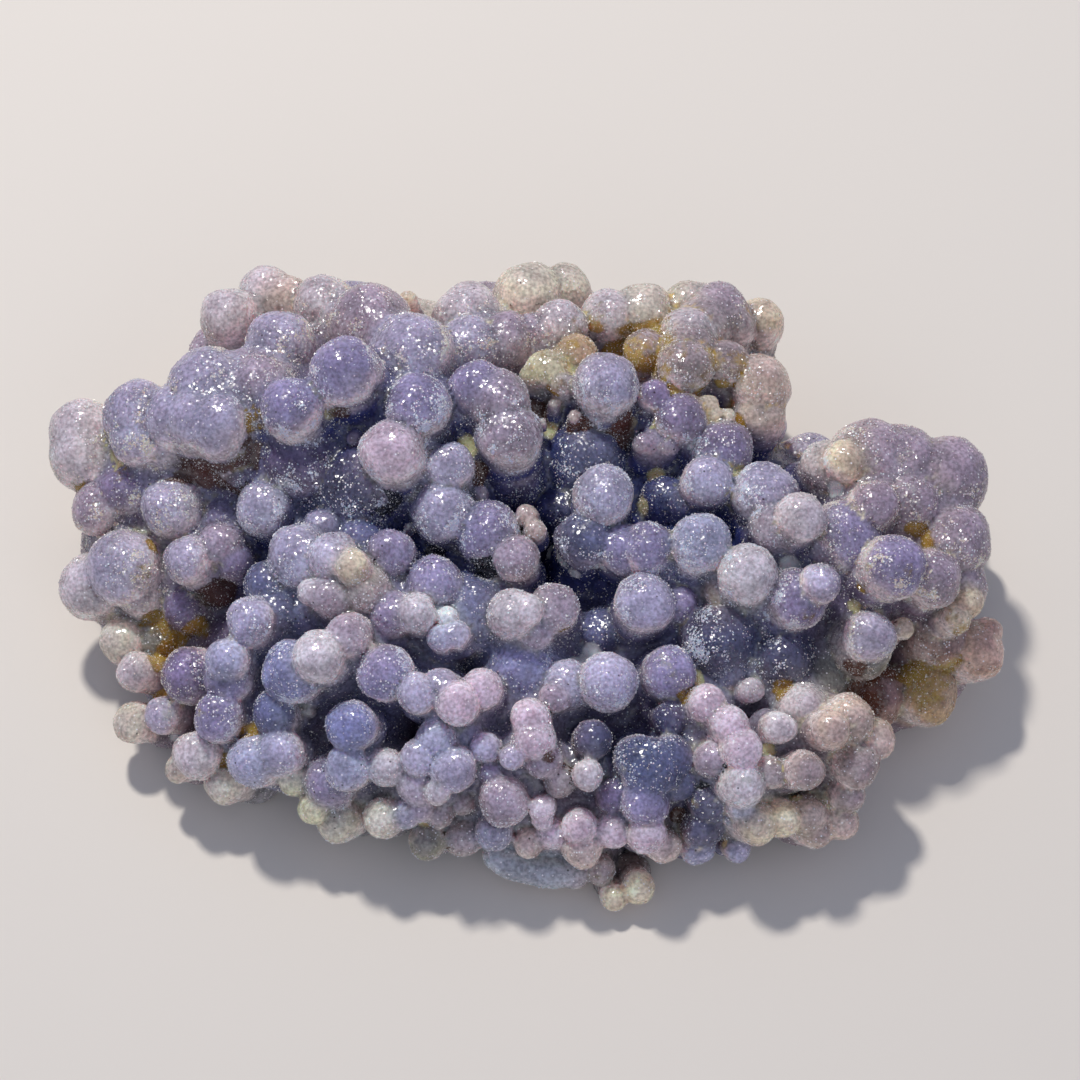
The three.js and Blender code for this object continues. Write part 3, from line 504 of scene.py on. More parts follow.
@dataclass
class DepthField:
    """How far each corner of a grid lies outside the stone, negative inside, in millimetres.

    The crust between the balls is put where the space round a corner is fuller of stone than a
    level, which is lower, and the crust so higher, in the domes.
    """

    cell: float = 0.32
    low: tuple[float, float, float] = (-50.0, -38.0, -2.0)
    high: tuple[float, float, float] = (47.0, 34.0, 33.0)
    margin: float = 1.6
    groove: float = 0.12
    far: float = 5.0
    fill_reach: float = 1.7
    low_level: float = 0.7
    dome_level: float = 0.46
    crust_slope: float = 2.4
    sight: tuple[float, float] = (-60.0, 40.0)
    values: np.ndarray = field(default=None, repr=False)

    def grow(self, lumps: list[Lump]) -> None:
        """Enters the lumps, melted a little into each other, and cuts them at the table.

        Args:
            lumps: the round growths.
        """
        shape = [int(round((b - a) / self.cell)) + 1 for a, b in zip(self.low, self.high)]
        self.values = np.full(shape, self.far, dtype=np.float32)
        axes = [low + self.cell * np.arange(n) for low, n in zip(self.low, shape)]
        for lump in lumps:
            reach = lump.radius + self.margin
            cuts = tuple(
                slice(*np.searchsorted(axis, (middle - reach, middle + reach)))
                for axis, middle in zip(axes, lump.centre)
            )
            near = np.ix_(*[(axis[cut] - c) ** 2 for axis, cut, c in zip(axes, cuts, lump.centre)])
            depth = np.sqrt(sum(near), dtype=np.float32) - lump.radius
            self.values[cuts] = melt(self.values[cuts], depth, self.groove)
        self.fill_valleys()
        table = -axes[2][None, None, :].astype(np.float32)
        self.values = np.maximum(self.values, table)

    def fill_valleys(self) -> None:
        """Raises the crust between the balls, most where they join into domes."""
        across, along = (
            low + self.cell * np.arange(n)
            for low, n in zip(self.low[:2], self.values.shape[:2])
        )
        joined = np.zeros(self.values.shape[:2])
        for x, y, reach, height in DOMES:
            away = np.hypot(across[:, None] - x, along[None, :] - y)
            joined = np.maximum(joined, height * np.exp(-((away / reach) ** 2)))
        level = self.low_level + (self.dome_level - self.low_level) * joined[:, :, None]
        crust = (level - self.fullness(self.fill_reach)) * self.fill_reach * self.crust_slope
        self.values = melt(self.values, crust, self.groove).astype(np.float32)

    def sample(self, grid: np.ndarray, points: np.ndarray) -> np.ndarray:
        """Reads a grid between its corners.

        Args:
            grid: values at the corners.
            points: places in millimetres, one a row.

        Returns:
            One value a point.
        """
        place = (points - np.array(self.low)) / self.cell
        place = np.clip(place, 0, np.array(grid.shape) - 1.001)
        corner = place.astype(int)
        part = place - corner
        total = np.zeros(len(points))
        for i in (0, 1):
            for j in (0, 1):
                for k in (0, 1):
                    offset = np.array([i, j, k])
                    weight = np.prod(np.where(offset, part, 1 - part), axis=1)
                    x, y, z = (corner + offset).T
                    total += weight * grid[x, y, z]
        return total

    def slope(self, points: np.ndarray) -> np.ndarray:
        """Returns the direction in which the depth grows at each point."""
        step = self.cell / 2
        parts = []
        for axis in range(3):
            shift = np.zeros(3)
            shift[axis] = step
            ahead = self.sample(self.values, points + shift)
            parts.append((ahead - self.sample(self.values, points - shift)) / (2 * step))
        return np.stack(parts, axis=1)

    def fullness(self, reach: float) -> np.ndarray:
        """Works out how full of stone the space round each corner is.

        Args:
            reach: half the side of the space, in millimetres.

        Returns:
            A grid of shares from 0 to 1.
        """
        width = max(1, int(round(reach / self.cell)))
        grid = np.clip(0.5 - self.values / self.cell, 0, 1)
        for _ in range(2):
            for axis in range(3):
                wide = np.pad(grid, [(width + 1, width) if a == axis else (0, 0) for a in range(3)])
                sums = np.cumsum(wide, axis=axis, dtype=np.float64)
                count = grid.shape[axis]
                upper = np.take(sums, np.arange(count) + 2 * width + 1, axis=axis)
                lower = np.take(sums, np.arange(count), axis=axis)
                grid = ((upper - lower) / (2 * width + 1)).astype(np.float32)
        return grid

    def touched(self, view: PhotoView, across: float, down: float) -> np.ndarray:
        """Finds the point of the stone that the photo shows at a spot.

        Args:
            view: the photo's view.
            across: distance from the picture's left side.
            down: distance from the picture's top.

        Returns:
            The point of the surface, or the nearest one on the line of sight.
        """
        spot = view.on_picture(across, down)
        ahead = spot - view.eye()
        ahead /= np.linalg.norm(ahead)
        steps = np.arange(*self.sight, self.cell / 2)
        line = spot + steps[:, None] * ahead
        depths = self.sample(self.values, line)
        inside = np.nonzero(depths < 0)[0]
        return line[inside[0]] if len(inside) else line[np.argmin(depths)]


@dataclass
class Skin:
    """The stone's surface as points and triangles, in millimetres."""

    points: np.ndarray
    faces: np.ndarray
    normals: np.ndarray = field(default=None, repr=False)

    @classmethod
    def around(cls, depth: DepthField) -> "Skin":
        """Draws the skin where the depth is nought.

        Args:
            depth: the grid of depths.

        Returns:
            A closed skin, with only its largest piece kept.
        """
        values = depth.values
        shape = np.array(values.shape)
        cells, places, corners = [], [], []
        for axis in range(3):
            first, second = (axis + 1) % 3, (axis + 2) % 3
            start = np.take(values, np.arange(shape[axis] - 1), axis=axis)
            end = np.take(values, np.arange(1, shape[axis]), axis=axis)
            edges = np.argwhere((start < 0) != (end < 0))
            a, b = start[tuple(edges.T)], end[tuple(edges.T)]
            crossing = edges.astype(float)
            crossing[:, axis] += a / (a - b)
            ring = []
            for step_first, step_second in ((0, 0), (1, 0), (1, 1), (0, 1)):
                cell = edges.copy()
                cell[:, first] -= step_first
                cell[:, second] -= step_second
                ring.append(np.ravel_multi_index(tuple(cell.T), shape))
                cells.append(ring[-1])
                places.append(crossing)
            quads = np.stack(ring, axis=1)
            quads[a > 0] = quads[a > 0][:, ::-1]
            corners.append(quads)
        used, index = np.unique(np.concatenate(cells), return_inverse=True)
        spots = np.concatenate(places)
        count = np.bincount(index)
        mean = np.stack([np.bincount(index, spots[:, i]) / count for i in range(3)], axis=1)
        quads = np.searchsorted(used, np.concatenate(corners))
        faces = np.concatenate([quads[:, [0, 1, 2]], quads[:, [0, 2, 3]]])
        skin = cls(np.array(depth.low) + mean * depth.cell, faces)
        skin.keep_largest()
        return skin

    def keep_largest(self) -> None:
        """Leaves out every piece of the skin but the one with the most points."""
        label = np.arange(len(self.points))
        while True:
            least = label[self.faces].min(axis=1)
            new = label.copy()
            np.minimum.at(new, self.faces.ravel(), np.repeat(least, 3))
            new = new[new]
            if np.array_equal(new, label):
                break
            label = new
        keep = label == np.bincount(label).argmax()
        number = np.cumsum(keep) - 1
        self.faces = number[self.faces[keep[self.faces[:, 0]]]]
        self.points = self.points[keep]

    def thin(self, most: int) -> None:
        """Merges triangles where the skin is plain, until few enough are left.

        Args:
            most: how many triangles may stay.
        """
        thick = show("thick_skin", make_mesh("thick_skin", self.points, self.faces, 1.0))
        thick.modifiers.new("thin", "DECIMATE").ratio = most / len(self.faces)
        graph = bpy.context.evaluated_depsgraph_get()
        made = bpy.data.meshes.new_from_object(thick.evaluated_get(graph))
        made.calc_loop_triangles()
        points = np.empty(len(made.vertices) * 3, dtype=np.float32)
        faces = np.empty(len(made.loop_triangles) * 3, dtype=np.int32)
        made.vertices.foreach_get("co", points)
        made.loop_triangles.foreach_get("vertices", faces)
        self.points = points.reshape(-1, 3).astype(float)
        self.faces = faces.reshape(-1, 3)
        bpy.data.meshes.remove(thick.data)
        bpy.data.meshes.remove(made)

    def measure_normals(self) -> None:
        """Works out the normal at each point from the triangles round it."""
        a, b, c = (self.points[self.faces[:, i]] for i in range(3))
        area = np.cross(b - a, c - a)
        normals = np.zeros_like(self.points)
        for corner in range(3):
            np.add.at(normals, self.faces[:, corner], area)
        self.normals = normals / np.maximum(np.linalg.norm(normals, axis=1), 1e-12)[:, None]

    def dips(self) -> np.ndarray:
        """Returns how sharply the skin dips in at each point, in shares of a right angle."""
        total = np.zeros(len(self.points))
        count = np.zeros(len(self.points))
        for first, second in ((0, 1), (1, 2), (2, 0)):
            start, end = self.faces[:, first], self.faces[:, second]
            way = self.points[end] - self.points[start]
            way /= np.maximum(np.linalg.norm(way, axis=1), 1e-9)[:, None]
            np.add.at(total, start, (way * self.normals[start]).sum(axis=1))
            np.add.at(total, end, -(way * self.normals[end]).sum(axis=1))
            np.add.at(count, start, 1)
            np.add.at(count, end, 1)
        return total / np.maximum(count, 1)

    def settle(self, depth: DepthField, rounds: int = 2, least: float = 0.25) -> None:
        """Moves the points on to the exact surface.

        Args:
            depth: the grid of depths.
            rounds: how many times to move them.
            least: the least square of the steepness that a move is worked out with.
        """
        for _ in range(rounds):
            slope = depth.slope(self.points)
            size = np.maximum((slope**2).sum(axis=1), least)
            shift = depth.sample(depth.values, self.points) / size
            self.points -= np.clip(shift, -depth.cell, depth.cell)[:, None] * slope

    def roughen(self, swells: tuple[tuple[float, float], ...], foot: float, fade: float) -> None:
        """Makes the balls as uneven as grown ones, except where they are cut flat.

        Args:
            swells: height and width of each kind of unevenness.
            foot: height above the table that stays even.
            fade: height over which the unevenness comes in.
        """
        rise = sum(waves(self.points, width) * height for height, width in swells)
        free = np.clip((self.points[:, 2] - foot) / fade, 0, 1)
        self.points += self.normals * (rise * free)[:, None]
        self.points[:, 2] = np.maximum(self.points[:, 2], 0)


def smooth_step(low: float, high: float, values: np.ndarray) -> np.ndarray:
    """Rises smoothly from 0 at low to 1 at high.

    Args:
        low: where the rise starts.
        high: where it ends.
        values: the numbers to look up.

    Returns:
        One share a number.
    """
    share = np.clip((values - low) / (high - low), 0, 1)
    return share * share * (3 - 2 * share)


def waves(points: np.ndarray, width: float) -> np.ndarray:
    """Returns smooth chance values from -1 to 1 that change over a width in millimetres."""
    return np.array([noise.noise(Vector(point)) for point in points / width])


def blend(under: np.ndarray, over: np.ndarray, share: np.ndarray) -> np.ndarray:
    """Returns the colours under, covered by the colour over by the share at each point."""
    return under * (1 - share[:, None]) + over * share[:, None]


def at_least(least: float, share: np.ndarray) -> np.ndarray:
    """Returns the shares pressed together between the least one and 1."""
    return least + (1 - least) * share


@dataclass
class Zones:
    """Tells the parts of the stone apart.

    A pair gives where a part starts and where it is reached in full, in millimetres, but for
    hollow_full, which is how full of stone the space is, and seam_dips, in shares of a right angle.
    What is measured is a share from 0 to 1 at each point.
    """

    hollow_reach: float = 4.0
    hollow_lift: float = 0.6
    hollow_full: tuple[float, float] = (0.3, 0.62)
    hollow_closed: float = 0.6
    seam_dips: tuple[float, float] = (0.06, 0.3)
    top_z: tuple[float, float] = (5.0, 14.0)
    crust_gap: tuple[float, float] = (0.2, 0.8)
    middle_x: float = -3.0
    inner_x: tuple[float, float] = (34.0, 22.0)
    inner_y: tuple[float, float] = (12.0, 5.0)
    front_y: tuple[float, float] = (-5.0, -13.0)
    right_x: tuple[float, float] = (6.0, 16.0)
    golden_x: tuple[float, float] = (3.0, 10.0)
    golden_y: tuple[float, float] = (3.0, 8.0)
    facing: np.ndarray = field(default=None, repr=False)
    dips: np.ndarray = field(default=None, repr=False)
    seam: np.ndarray = field(default=None, repr=False)
    hollow: np.ndarray = field(default=None, repr=False)
    top: np.ndarray = field(default=None, repr=False)
    crust: np.ndarray = field(default=None, repr=False)
    open_face: np.ndarray = field(default=None, repr=False)
    inner: np.ndarray = field(default=None, repr=False)
    front: np.ndarray = field(default=None, repr=False)
    right: np.ndarray = field(default=None, repr=False)
    golden: np.ndarray = field(default=None, repr=False)

    def measure(
        self, skin: Skin, depth: DepthField, facing: np.ndarray, bare: np.ndarray
    ) -> None:
        """Works out the parts that each point belongs to.

        Args:
            skin: the stone's surface.
            depth: the grid of depths.
            facing: how far each point faces the way that its ball grew.
            bare: how far it is from the nearest ball.
        """
        x, y, z = skin.points.T
        self.facing = facing
        self.dips = skin.dips()
        self.seam = smooth_step(*self.seam_dips, self.dips)
        raised = skin.points + skin.normals * self.hollow_reach * self.hollow_lift
        full = depth.sample(depth.fullness(self.hollow_reach), raised)
        self.hollow = smooth_step(*self.hollow_full, full)
        self.top = smooth_step(*self.top_z, z)
        self.crust = smooth_step(*self.crust_gap, bare)
        self.open_face = (1 - self.crust) * (1 - self.hollow_closed * self.hollow)
        self.inner = smooth_step(*self.inner_x, np.abs(x - self.middle_x))
        self.inner *= smooth_step(*self.inner_y, y)
        self.front = smooth_step(*self.front_y, y)
        self.right = smooth_step(*self.right_x, x)
        self.golden = smooth_step(*self.golden_x, x) * smooth_step(*self.golden_y, y)


@dataclass
class SugarSpread:
    """Where the druse grows: on flanks, in seams, on stains and on the painted shade of deep gaps, in
    patches, not on worn faces.

    A pair gives where something starts and where it is reached in full. Each share is how thick
    the druse is there, from 0 to 1.
    """

    patch_mm: float = 1.4
    speckle_mm: float = 0.5
    speckle_share: float = 0.6
    patch_range: tuple[float, float] = (-0.1, 0.45)
    flank_facing: tuple[float, float] = (0.97, 0.75)
    ring_outside: tuple[float, float] = (0.8, 0.5)
    ring_inside: tuple[float, float] = (-0.1, 0.2)
    everywhere: float = 0.16
    on_flanks: float = 0.42
    flecks_on_flanks: float = 0.4
    in_seams: float = 0.2
    on_rings: float = 0.36
    worn_off: float = 0.9
    between_patches: float = 0.03
    flecks_between: float = 0.1
    in_hollows_between: float = 0.2
    in_hollows: float = 0.14
    on_the_ridge: float = 0.4
    flecks_in_outer_seams: float = 0.8
    on_stains_and_shade: float = 0.5
    ridge_z: tuple[float, float] = (13.0, 19.0)
    foot_z: tuple[float, float] = (0.4, 1.2)
    sugar: np.ndarray = field(default=None, repr=False)
    druse: np.ndarray = field(default=None, repr=False)

    def ring(self, zones: Zones) -> np.ndarray:
        """Returns how much each point lies on the ring of druse round a ball."""
        ring = smooth_step(*self.ring_outside, zones.facing)
        return ring * smooth_step(*self.ring_inside, zones.facing) * zones.open_face

    def sow(self, skin: Skin, zones: Zones, smooth: np.ndarray, stain: np.ndarray) -> None:
        """Works out how thick the druse is at each point.

        Args:
            skin: the stone's surface.
            zones: the parts of the stone.
            smooth: how smooth each point is worn.
            stain: how stained it is, with the painted shade of the deep gaps counted in.
        """
        ring, height = self.ring(zones), skin.points[:, 2]
        chance = waves(skin.points, self.patch_mm)
        chance += self.speckle_share * waves(skin.points, self.speckle_mm)
        patchy = smooth_step(*self.patch_range, chance)
        flank = smooth_step(*self.flank_facing, zones.facing)
        sugar = self.everywhere + self.on_flanks * flank + self.in_seams * zones.seam
        sugar = sugar * at_least(self.between_patches, patchy) + self.on_rings * ring * patchy
        sugar *= 1 - self.worn_off * smooth
        low = np.maximum(zones.hollow, zones.crust)
        sugar += self.in_hollows * low * at_least(self.in_hollows_between, patchy)
        ridge = smooth_step(*self.ridge_z, height)
        sugar += self.on_the_ridge * ridge * np.maximum(zones.seam, zones.crust) * patchy
        sugar = np.clip(sugar + self.on_stains_and_shade * stain, 0, 1)
        self.sugar = sugar * smooth_step(*self.foot_z, height)
        druse = self.everywhere + self.flecks_on_flanks * flank * (1 - zones.seam)
        druse = (druse + self.on_rings * ring) * zones.open_face
        druse *= at_least(self.flecks_between, patchy) * (1 - smooth)
        creases = self.flecks_in_outer_seams * (1 - zones.inner) * zones.seam * patchy
        self.druse = np.maximum(druse, creases)


@dataclass
class Colouring:
    """What the eye sees change over the stone: tints, painted light and shade on the balls, in the
    seams and in the hollows, stains and sugar.

    Each tint has the share that it covers at most. A pair gives where it starts and where it is
    reached in full.
    """

    tint_reach: float = 0.3
    district_reach: float = 1.6
    district_share: float = 0.3
    cool_cast: tuple[float, float, float] = (0.97, 1.01, 1.03)
    # painted light: how much the colours at the front of the middle are lifted
    painted_front_light: float = 0.22
    # painted light: a deeper middle on each ball, and pale glowing rims and edges, for the light that
    # passes through the balls
    core_shade_tint: str = "#756a9c"
    core_shade_share: float = 0.2
    core_shade_facing: tuple[float, float] = (0.6, 1.0)
    rim_glow_tint: str = "#e6d3d2"
    rim_glow_share: float = 0.52
    rim_glow_facing: tuple[float, float] = (-0.1, 0.75)
    edge_glow_tint: str = "#f6e6e0"
    edge_glow_share: float = 0.75
    edge_glow_facing: tuple[float, float] = (0.05, 0.45)
    edge_grain_mm: float = 0.7
    edge_grain: tuple[float, float] = (-0.5, 0.4)
    edge_least: float = 0.3
    pale_range: tuple[float, float] = (0.03, 0.25)
    crust_tint: str = "#857389"
    crust_share: float = 0.6
    # painted shade: navy on the crust and hollows of the middle, less of it towards the front, brown
    # under the ridge, and the creases darkened
    hollow_shade_tint: str = "#2b3570"
    inner_crust_shade_share: float = 0.8
    hollow_shade_share: float = 0.75
    front_shade_ease: float = 0.75
    under_shade_tint: str = "#7c5c50"
    under_shade_share: float = 0.4
    warm_seam_shade: str = "#6b4a4c"
    cool_seam_shade: str = "#181d3c"
    seam_shade: float = 0.75
    front_seam_shade_ease: float = 0.55
    vein_tint: str = "#e6dcc0"
    gold_tint: str = "#d3b566"
    vein_share: float = 0.75
    vein_dips: tuple[float, float] = (0.1, 0.19)
    wider_golden: float = 0.06
    wider_right: float = 0.03
    inner_without: float = 0.7
    right_with: float = 0.6
    break_mm: tuple[float, float] = (2.2, 0.8)
    fine_break_share: float = 0.5
    break_range: tuple[float, float] = (-0.1, 0.25)
    warm_ring: str = "#eadfca"
    cool_ring: str = "#dce2f2"
    ring_share: float = 0.75
    small_to_large: tuple[float, float] = (1.7, 3.1)
    warm_range: tuple[float, float] = (0.02, 0.12)
    small_gloss: float = 0.8
    spot_range: tuple[float, float] = (0.55, 1.3)
    low_lying: tuple[float, float] = (0.1, 0.6)
    stain_on_flecks: float = 0.5
    stain_on_crystals: float = 0.85
    zones: Zones = field(default_factory=Zones)
    spread: SugarSpread = field(default_factory=SugarSpread)
    colour: np.ndarray = field(default=None, repr=False)
    smooth: np.ndarray = field(default=None, repr=False)
    bare: np.ndarray = field(default=None, repr=False)
    width: np.ndarray = field(default=None, repr=False)
    stain: np.ndarray = field(default=None, repr=False)
    stain_colour: np.ndarray = field(default=None, repr=False)

    def near_spots(
        self, skin: Skin, depth: DepthField, view: PhotoView, spots: list[tuple[float, ...]]
    ) -> np.ndarray:
        """Marks the surface round spots that are given in the photo's view.

        Args:
            skin: the stone's surface.
            depth: the grid of depths.
            view: the photo's view.
            spots: across, down and reach of each.

        Returns:
            One share a point, 1 at a spot.
        """
        start, end = self.spot_range
        marked = np.zeros(len(skin.points))
        for across, down, reach in spots:
            middle = depth.touched(view, across, down)
            away = np.linalg.norm(skin.points - middle, axis=1)
            marked = np.maximum(marked, 1 - smooth_step(start * reach, end * reach, away))
        return marked

    def own_tints(self, skin: Skin, lumps: list[Lump], farthest: float = 3.0) -> np.ndarray:
        """Takes each point's colour from the lumps that it lies on.

        Args:
            skin: the stone's surface.
            lumps: the round growths.
            farthest: how far off a lump may be, in millimetres.

        Returns:
            How far each point faces the way that its lump grew, from -1 to 1.
        """
        total, wide_total = np.full((2, len(skin.points), 1), 1e-9)
        colour, wide_colour, grown = np.zeros((3, len(skin.points), 3))
        self.width = np.zeros(len(skin.points))
        self.bare = np.full(len(skin.points), farthest)
        for lump in lumps:
            away = np.abs(skin.points - lump.centre).max(axis=1)
            near = np.nonzero(away < lump.radius + farthest)[0]
            gap = np.linalg.norm(skin.points[near] - lump.centre, axis=1) - lump.radius
            weight = np.exp(-np.clip(gap, -1, 6) / self.tint_reach)[:, None]
            wide = np.exp(-np.clip(gap, -1, 6) / self.district_reach)[:, None]
            total[near] += weight
            wide_total[near] += wide
            colour[near] += weight * lump.colour
            wide_colour[near] += wide * lump.colour
            grown[near] += weight * lump.outward
            self.width[near] += weight[:, 0] * lump.radius
            if lump.is_ball:
                self.bare[near] = np.minimum(self.bare[near], gap)
        self.width /= total[:, 0]
        share = self.district_share
        self.colour = colour / total * (1 - share) + wide_colour / wide_total * share
        return ((grown / total) * skin.normals).sum(axis=1)

    def cover(self, code: str, share: np.ndarray) -> None:
        """Lays a tint over the stone's colour by the share at each point."""
        self.colour = blend(self.colour, linear(code), share)

    def between(self, one: str, other: str, share: np.ndarray) -> np.ndarray:
        """Returns a colour a point, the first where the share is 0 and the other where it is 1."""
        return blend(np.ones_like(self.colour) * linear(one), linear(other), share)

    def light_up(self) -> None:
        """Cools the colours in the middle of the stone and paints light on its front, lifting the
        colours there.
        """
        inner, front = self.zones.inner, self.zones.front
        self.colour *= 1 + inner[:, None] * (np.array(self.cool_cast) - 1)
        # painted light: the front of the middle is made lighter
        self.colour *= 1 + self.painted_front_light * (front * inner)[:, None]

    def paint_ball_glow_and_shade(self, skin: Skin) -> None:
        """Paints shade in the middles of the balls and glow on their rims and thin edges, for the light
        that passes through them.
        """
        facing, open_face = self.zones.facing, self.zones.open_face
        pale = smooth_step(*self.pale_range, self.colour.mean(axis=1))
        # painted shade: the middle of each ball is deepened
        core_shade = smooth_step(*self.core_shade_facing, facing) * open_face
        self.cover(self.core_shade_tint, core_shade * self.core_shade_share * pale)
        # painted glow on the rims and thin edges of the balls
        rim_glow = (1 - smooth_step(*self.rim_glow_facing, facing)) * open_face
        self.cover(self.rim_glow_tint, rim_glow * self.rim_glow_share * pale)
        edge_glow = (1 - smooth_step(*self.edge_glow_facing, facing)) * open_face
        grain = smooth_step(*self.edge_grain, waves(skin.points, self.edge_grain_mm))
        edge_glow *= self.edge_glow_share * at_least(self.edge_least, pale)
        self.cover(self.edge_glow_tint, edge_glow * at_least(self.edge_least, grain))

    def paint_crust_and_shade(self) -> None:
        """Colours the crust, and paints shade in the hollows, under the ridge and in the creases
        between the balls.
        """
        zones = self.zones
        painted_dark = zones.inner * (1 - self.front_shade_ease * zones.front)
        self.cover(self.crust_tint, zones.crust * (1 - zones.inner) * self.crust_share)
        # painted shade: the crust and the hollows of the middle are darkened to navy, the low hollows
        # to brown
        self.cover(self.hollow_shade_tint, zones.crust * painted_dark * self.inner_crust_shade_share)
        self.cover(self.hollow_shade_tint, zones.hollow * zones.top * painted_dark * self.hollow_shade_share)
        self.cover(self.under_shade_tint, zones.hollow * (1 - zones.top) * self.under_shade_share)
        # painted shade in the creases between the balls, warm outside and cool in the middle
        crease_shade = self.between(self.warm_seam_shade, self.cool_seam_shade, zones.inner)
        shade = self.seam_shade * zones.seam * (1 - self.front_seam_shade_ease * zones.front)
        self.colour = blend(self.colour, crease_shade, shade)

    def paint_veins(self, skin: Skin) -> None:
        """Draws the broken cream and golden lines where balls meet."""
        zones, (broad, fine) = self.zones, self.break_mm
        chance = waves(skin.points, broad)
        chance += self.fine_break_share * waves(skin.points, fine)
        dips = zones.dips + self.wider_golden * zones.golden
        dips = dips + self.wider_right * zones.right * zones.front
        plain = self.inner_without * zones.inner * (1 - self.right_with * zones.right)
        vein = smooth_step(*self.vein_dips, dips) * (1 - zones.crust) * (1 - plain)
        vein *= smooth_step(*self.break_range, chance)
        tint = self.between(self.vein_tint, self.gold_tint, zones.golden)
        self.colour = blend(self.colour, tint, self.vein_share * vein)

    def lay_stains_and_shade(self, skin: Skin, depth: DepthField, view: PhotoView) -> None:
        """Marks the stains and the painted shade at their spots, most of them only where the surface
        lies low.

        Args:
            skin: the stone's surface.
            depth: the grid of depths.
            view: the photo's view.
        """
        zones = self.zones
        low = smooth_step(*self.low_lying, zones.seam + zones.hollow + zones.crust)
        self.stain = np.zeros(len(skin.points))
        self.stain_colour = np.zeros_like(self.colour)
        for kind, spots in STAINS_AND_SHADE.items():
            code, on_open = kind.value
            # the brown and the near-black kinds are painted shade
            share = self.near_spots(skin, depth, view, spots) * at_least(on_open, low)
            self.stain_colour = blend(self.stain_colour, linear(code), share)
            self.stain = np.maximum(self.stain, share)

    def paint(
        self, skin: Skin, depth: DepthField, view: PhotoView, lumps: list[Lump]
    ) -> None:
        """Fills in the colour with its painted light and shade, the stains, the smooth faces and the
        sugar at each point.

        Args:
            skin: the stone's surface.
            depth: the grid of depths.
            view: the photo's view.
            lumps: the round growths.
        """
        facing = self.own_tints(skin, lumps)
        self.zones.measure(skin, depth, facing, self.bare)
        self.light_up()
        warmth = smooth_step(*self.warm_range, self.colour[:, 0] - self.colour[:, 2])
        large = smooth_step(*self.small_to_large, self.width) * (1 - self.small_gloss * warmth)
        self.smooth = self.near_spots(skin, depth, view, SMOOTH_FACES)
        self.smooth = np.maximum(self.smooth, self.small_gloss * (1 - large))
        self.paint_ball_glow_and_shade(skin)
        self.paint_crust_and_shade()
        self.paint_veins(skin)
        self.lay_stains_and_shade(skin, depth, view)
        self.spread.sow(skin, self.zones, self.smooth, self.stain)

    def layers(self) -> dict[str, np.ndarray]:
        """Returns what the materials and the sugar read at each point, by name."""
        ring_tint = self.between(self.warm_ring, self.cool_ring, self.zones.inner)
        flecks = blend(ring_tint, self.stain_colour, self.stain_on_flecks * self.stain)
        crystals = blend(self.colour, self.stain_colour, self.stain_on_crystals * self.stain)
        crystals = blend(crystals, ring_tint, self.ring_share * self.spread.ring(self.zones))
        return {
            "tint": self.colour,
            "sugar": self.spread.sugar,
            "smooth": self.smooth,
            "stain": self.stain,
            "stain_tint": self.stain_colour,
            "crystal_tint": crystals,
            "fleck_tint": flecks,
            "druse": self.spread.druse,
        }


def make_mesh(
    name: str, points: np.ndarray, faces: np.ndarray, scale: float = METRES
) -> bpy.types.Mesh:
    """Turns points in millimetres and faces into a mesh.

    Args:
        name: the mesh's name.
        points: places in millimetres.
        faces: the point numbers of each face, as many for one as for the next.
        scale: the length of a millimetre in the mesh.

    Returns:
        The mesh.
    """
    mesh = bpy.data.meshes.new(name)
    mesh.vertices.add(len(points))
    mesh.vertices.foreach_set("co", (points * scale).astype(np.float32).ravel())
    mesh.loops.add(faces.size)
    mesh.loops.foreach_set("vertex_index", faces.astype(np.int32).ravel())
    mesh.polygons.add(len(faces))
    starts = np.arange(0, faces.size, faces.shape[1], dtype=np.int32)
    mesh.polygons.foreach_set("loop_start", starts)
    mesh.update(calc_edges=True)
    mesh.validate()
    return mesh


def store(mesh: bpy.types.Mesh, name: str, values: np.ndarray) -> None:
    """Keeps a number or a colour for each point of a mesh.

    Args:
        mesh: the mesh.
        name: what the attribute is called.
        values: one number, or red, green and blue, a point.
    """
    if values.ndim == 1:
        layer = mesh.attributes.new(name, "FLOAT", "POINT")
        layer.data.foreach_set("value", values.astype(np.float32))
        return
    layer = mesh.attributes.new(name, "FLOAT_COLOR", "POINT")
    full = np.concatenate([values, np.ones((len(values), 1))], axis=1)
    layer.data.foreach_set("color", full.astype(np.float32).ravel())


def show(name: str, mesh: bpy.types.Mesh) -> bpy.types.Object:
    """Puts a mesh in the scene and returns its object, which stands at the origin."""
    thing = bpy.data.objects.new(name, mesh)
    bpy.context.scene.collection.objects.link(thing)
    return thing


def add(
    tree: Tree,
    kind: str,
    values: dict | None = None,
    links: dict | None = None,
    **settings: object,
) -> bpy.types.Node:
    """Adds a node with its settings, values and links.

    Args:
        tree: the tree that it goes in.
        kind: Blender's name for the node.
        values: socket name or number to its value.
        links: socket name or number to the socket that feeds it.
        settings: the node's own settings.

    Returns:
        The node.
    """
    node = tree.nodes.new(kind)
    for name, setting in settings.items():
        setattr(node, name, setting)
    for socket, value in (values or {}).items():
        node.inputs[socket].default_value = value
    for socket, source in (links or {}).items():
        tree.links.new(source, node.inputs[socket])
    return node


def rgba(colour: np.ndarray) -> tuple[float, ...]:
    """Returns a linear colour with full opacity, as a socket takes it."""
    return (*map(float, colour), 1.0)


@dataclass(frozen=True)
class Cloud:
    """A soft change of brightness: how wide its clouds are and how strong it is."""

    size_mm: float
    depth: float


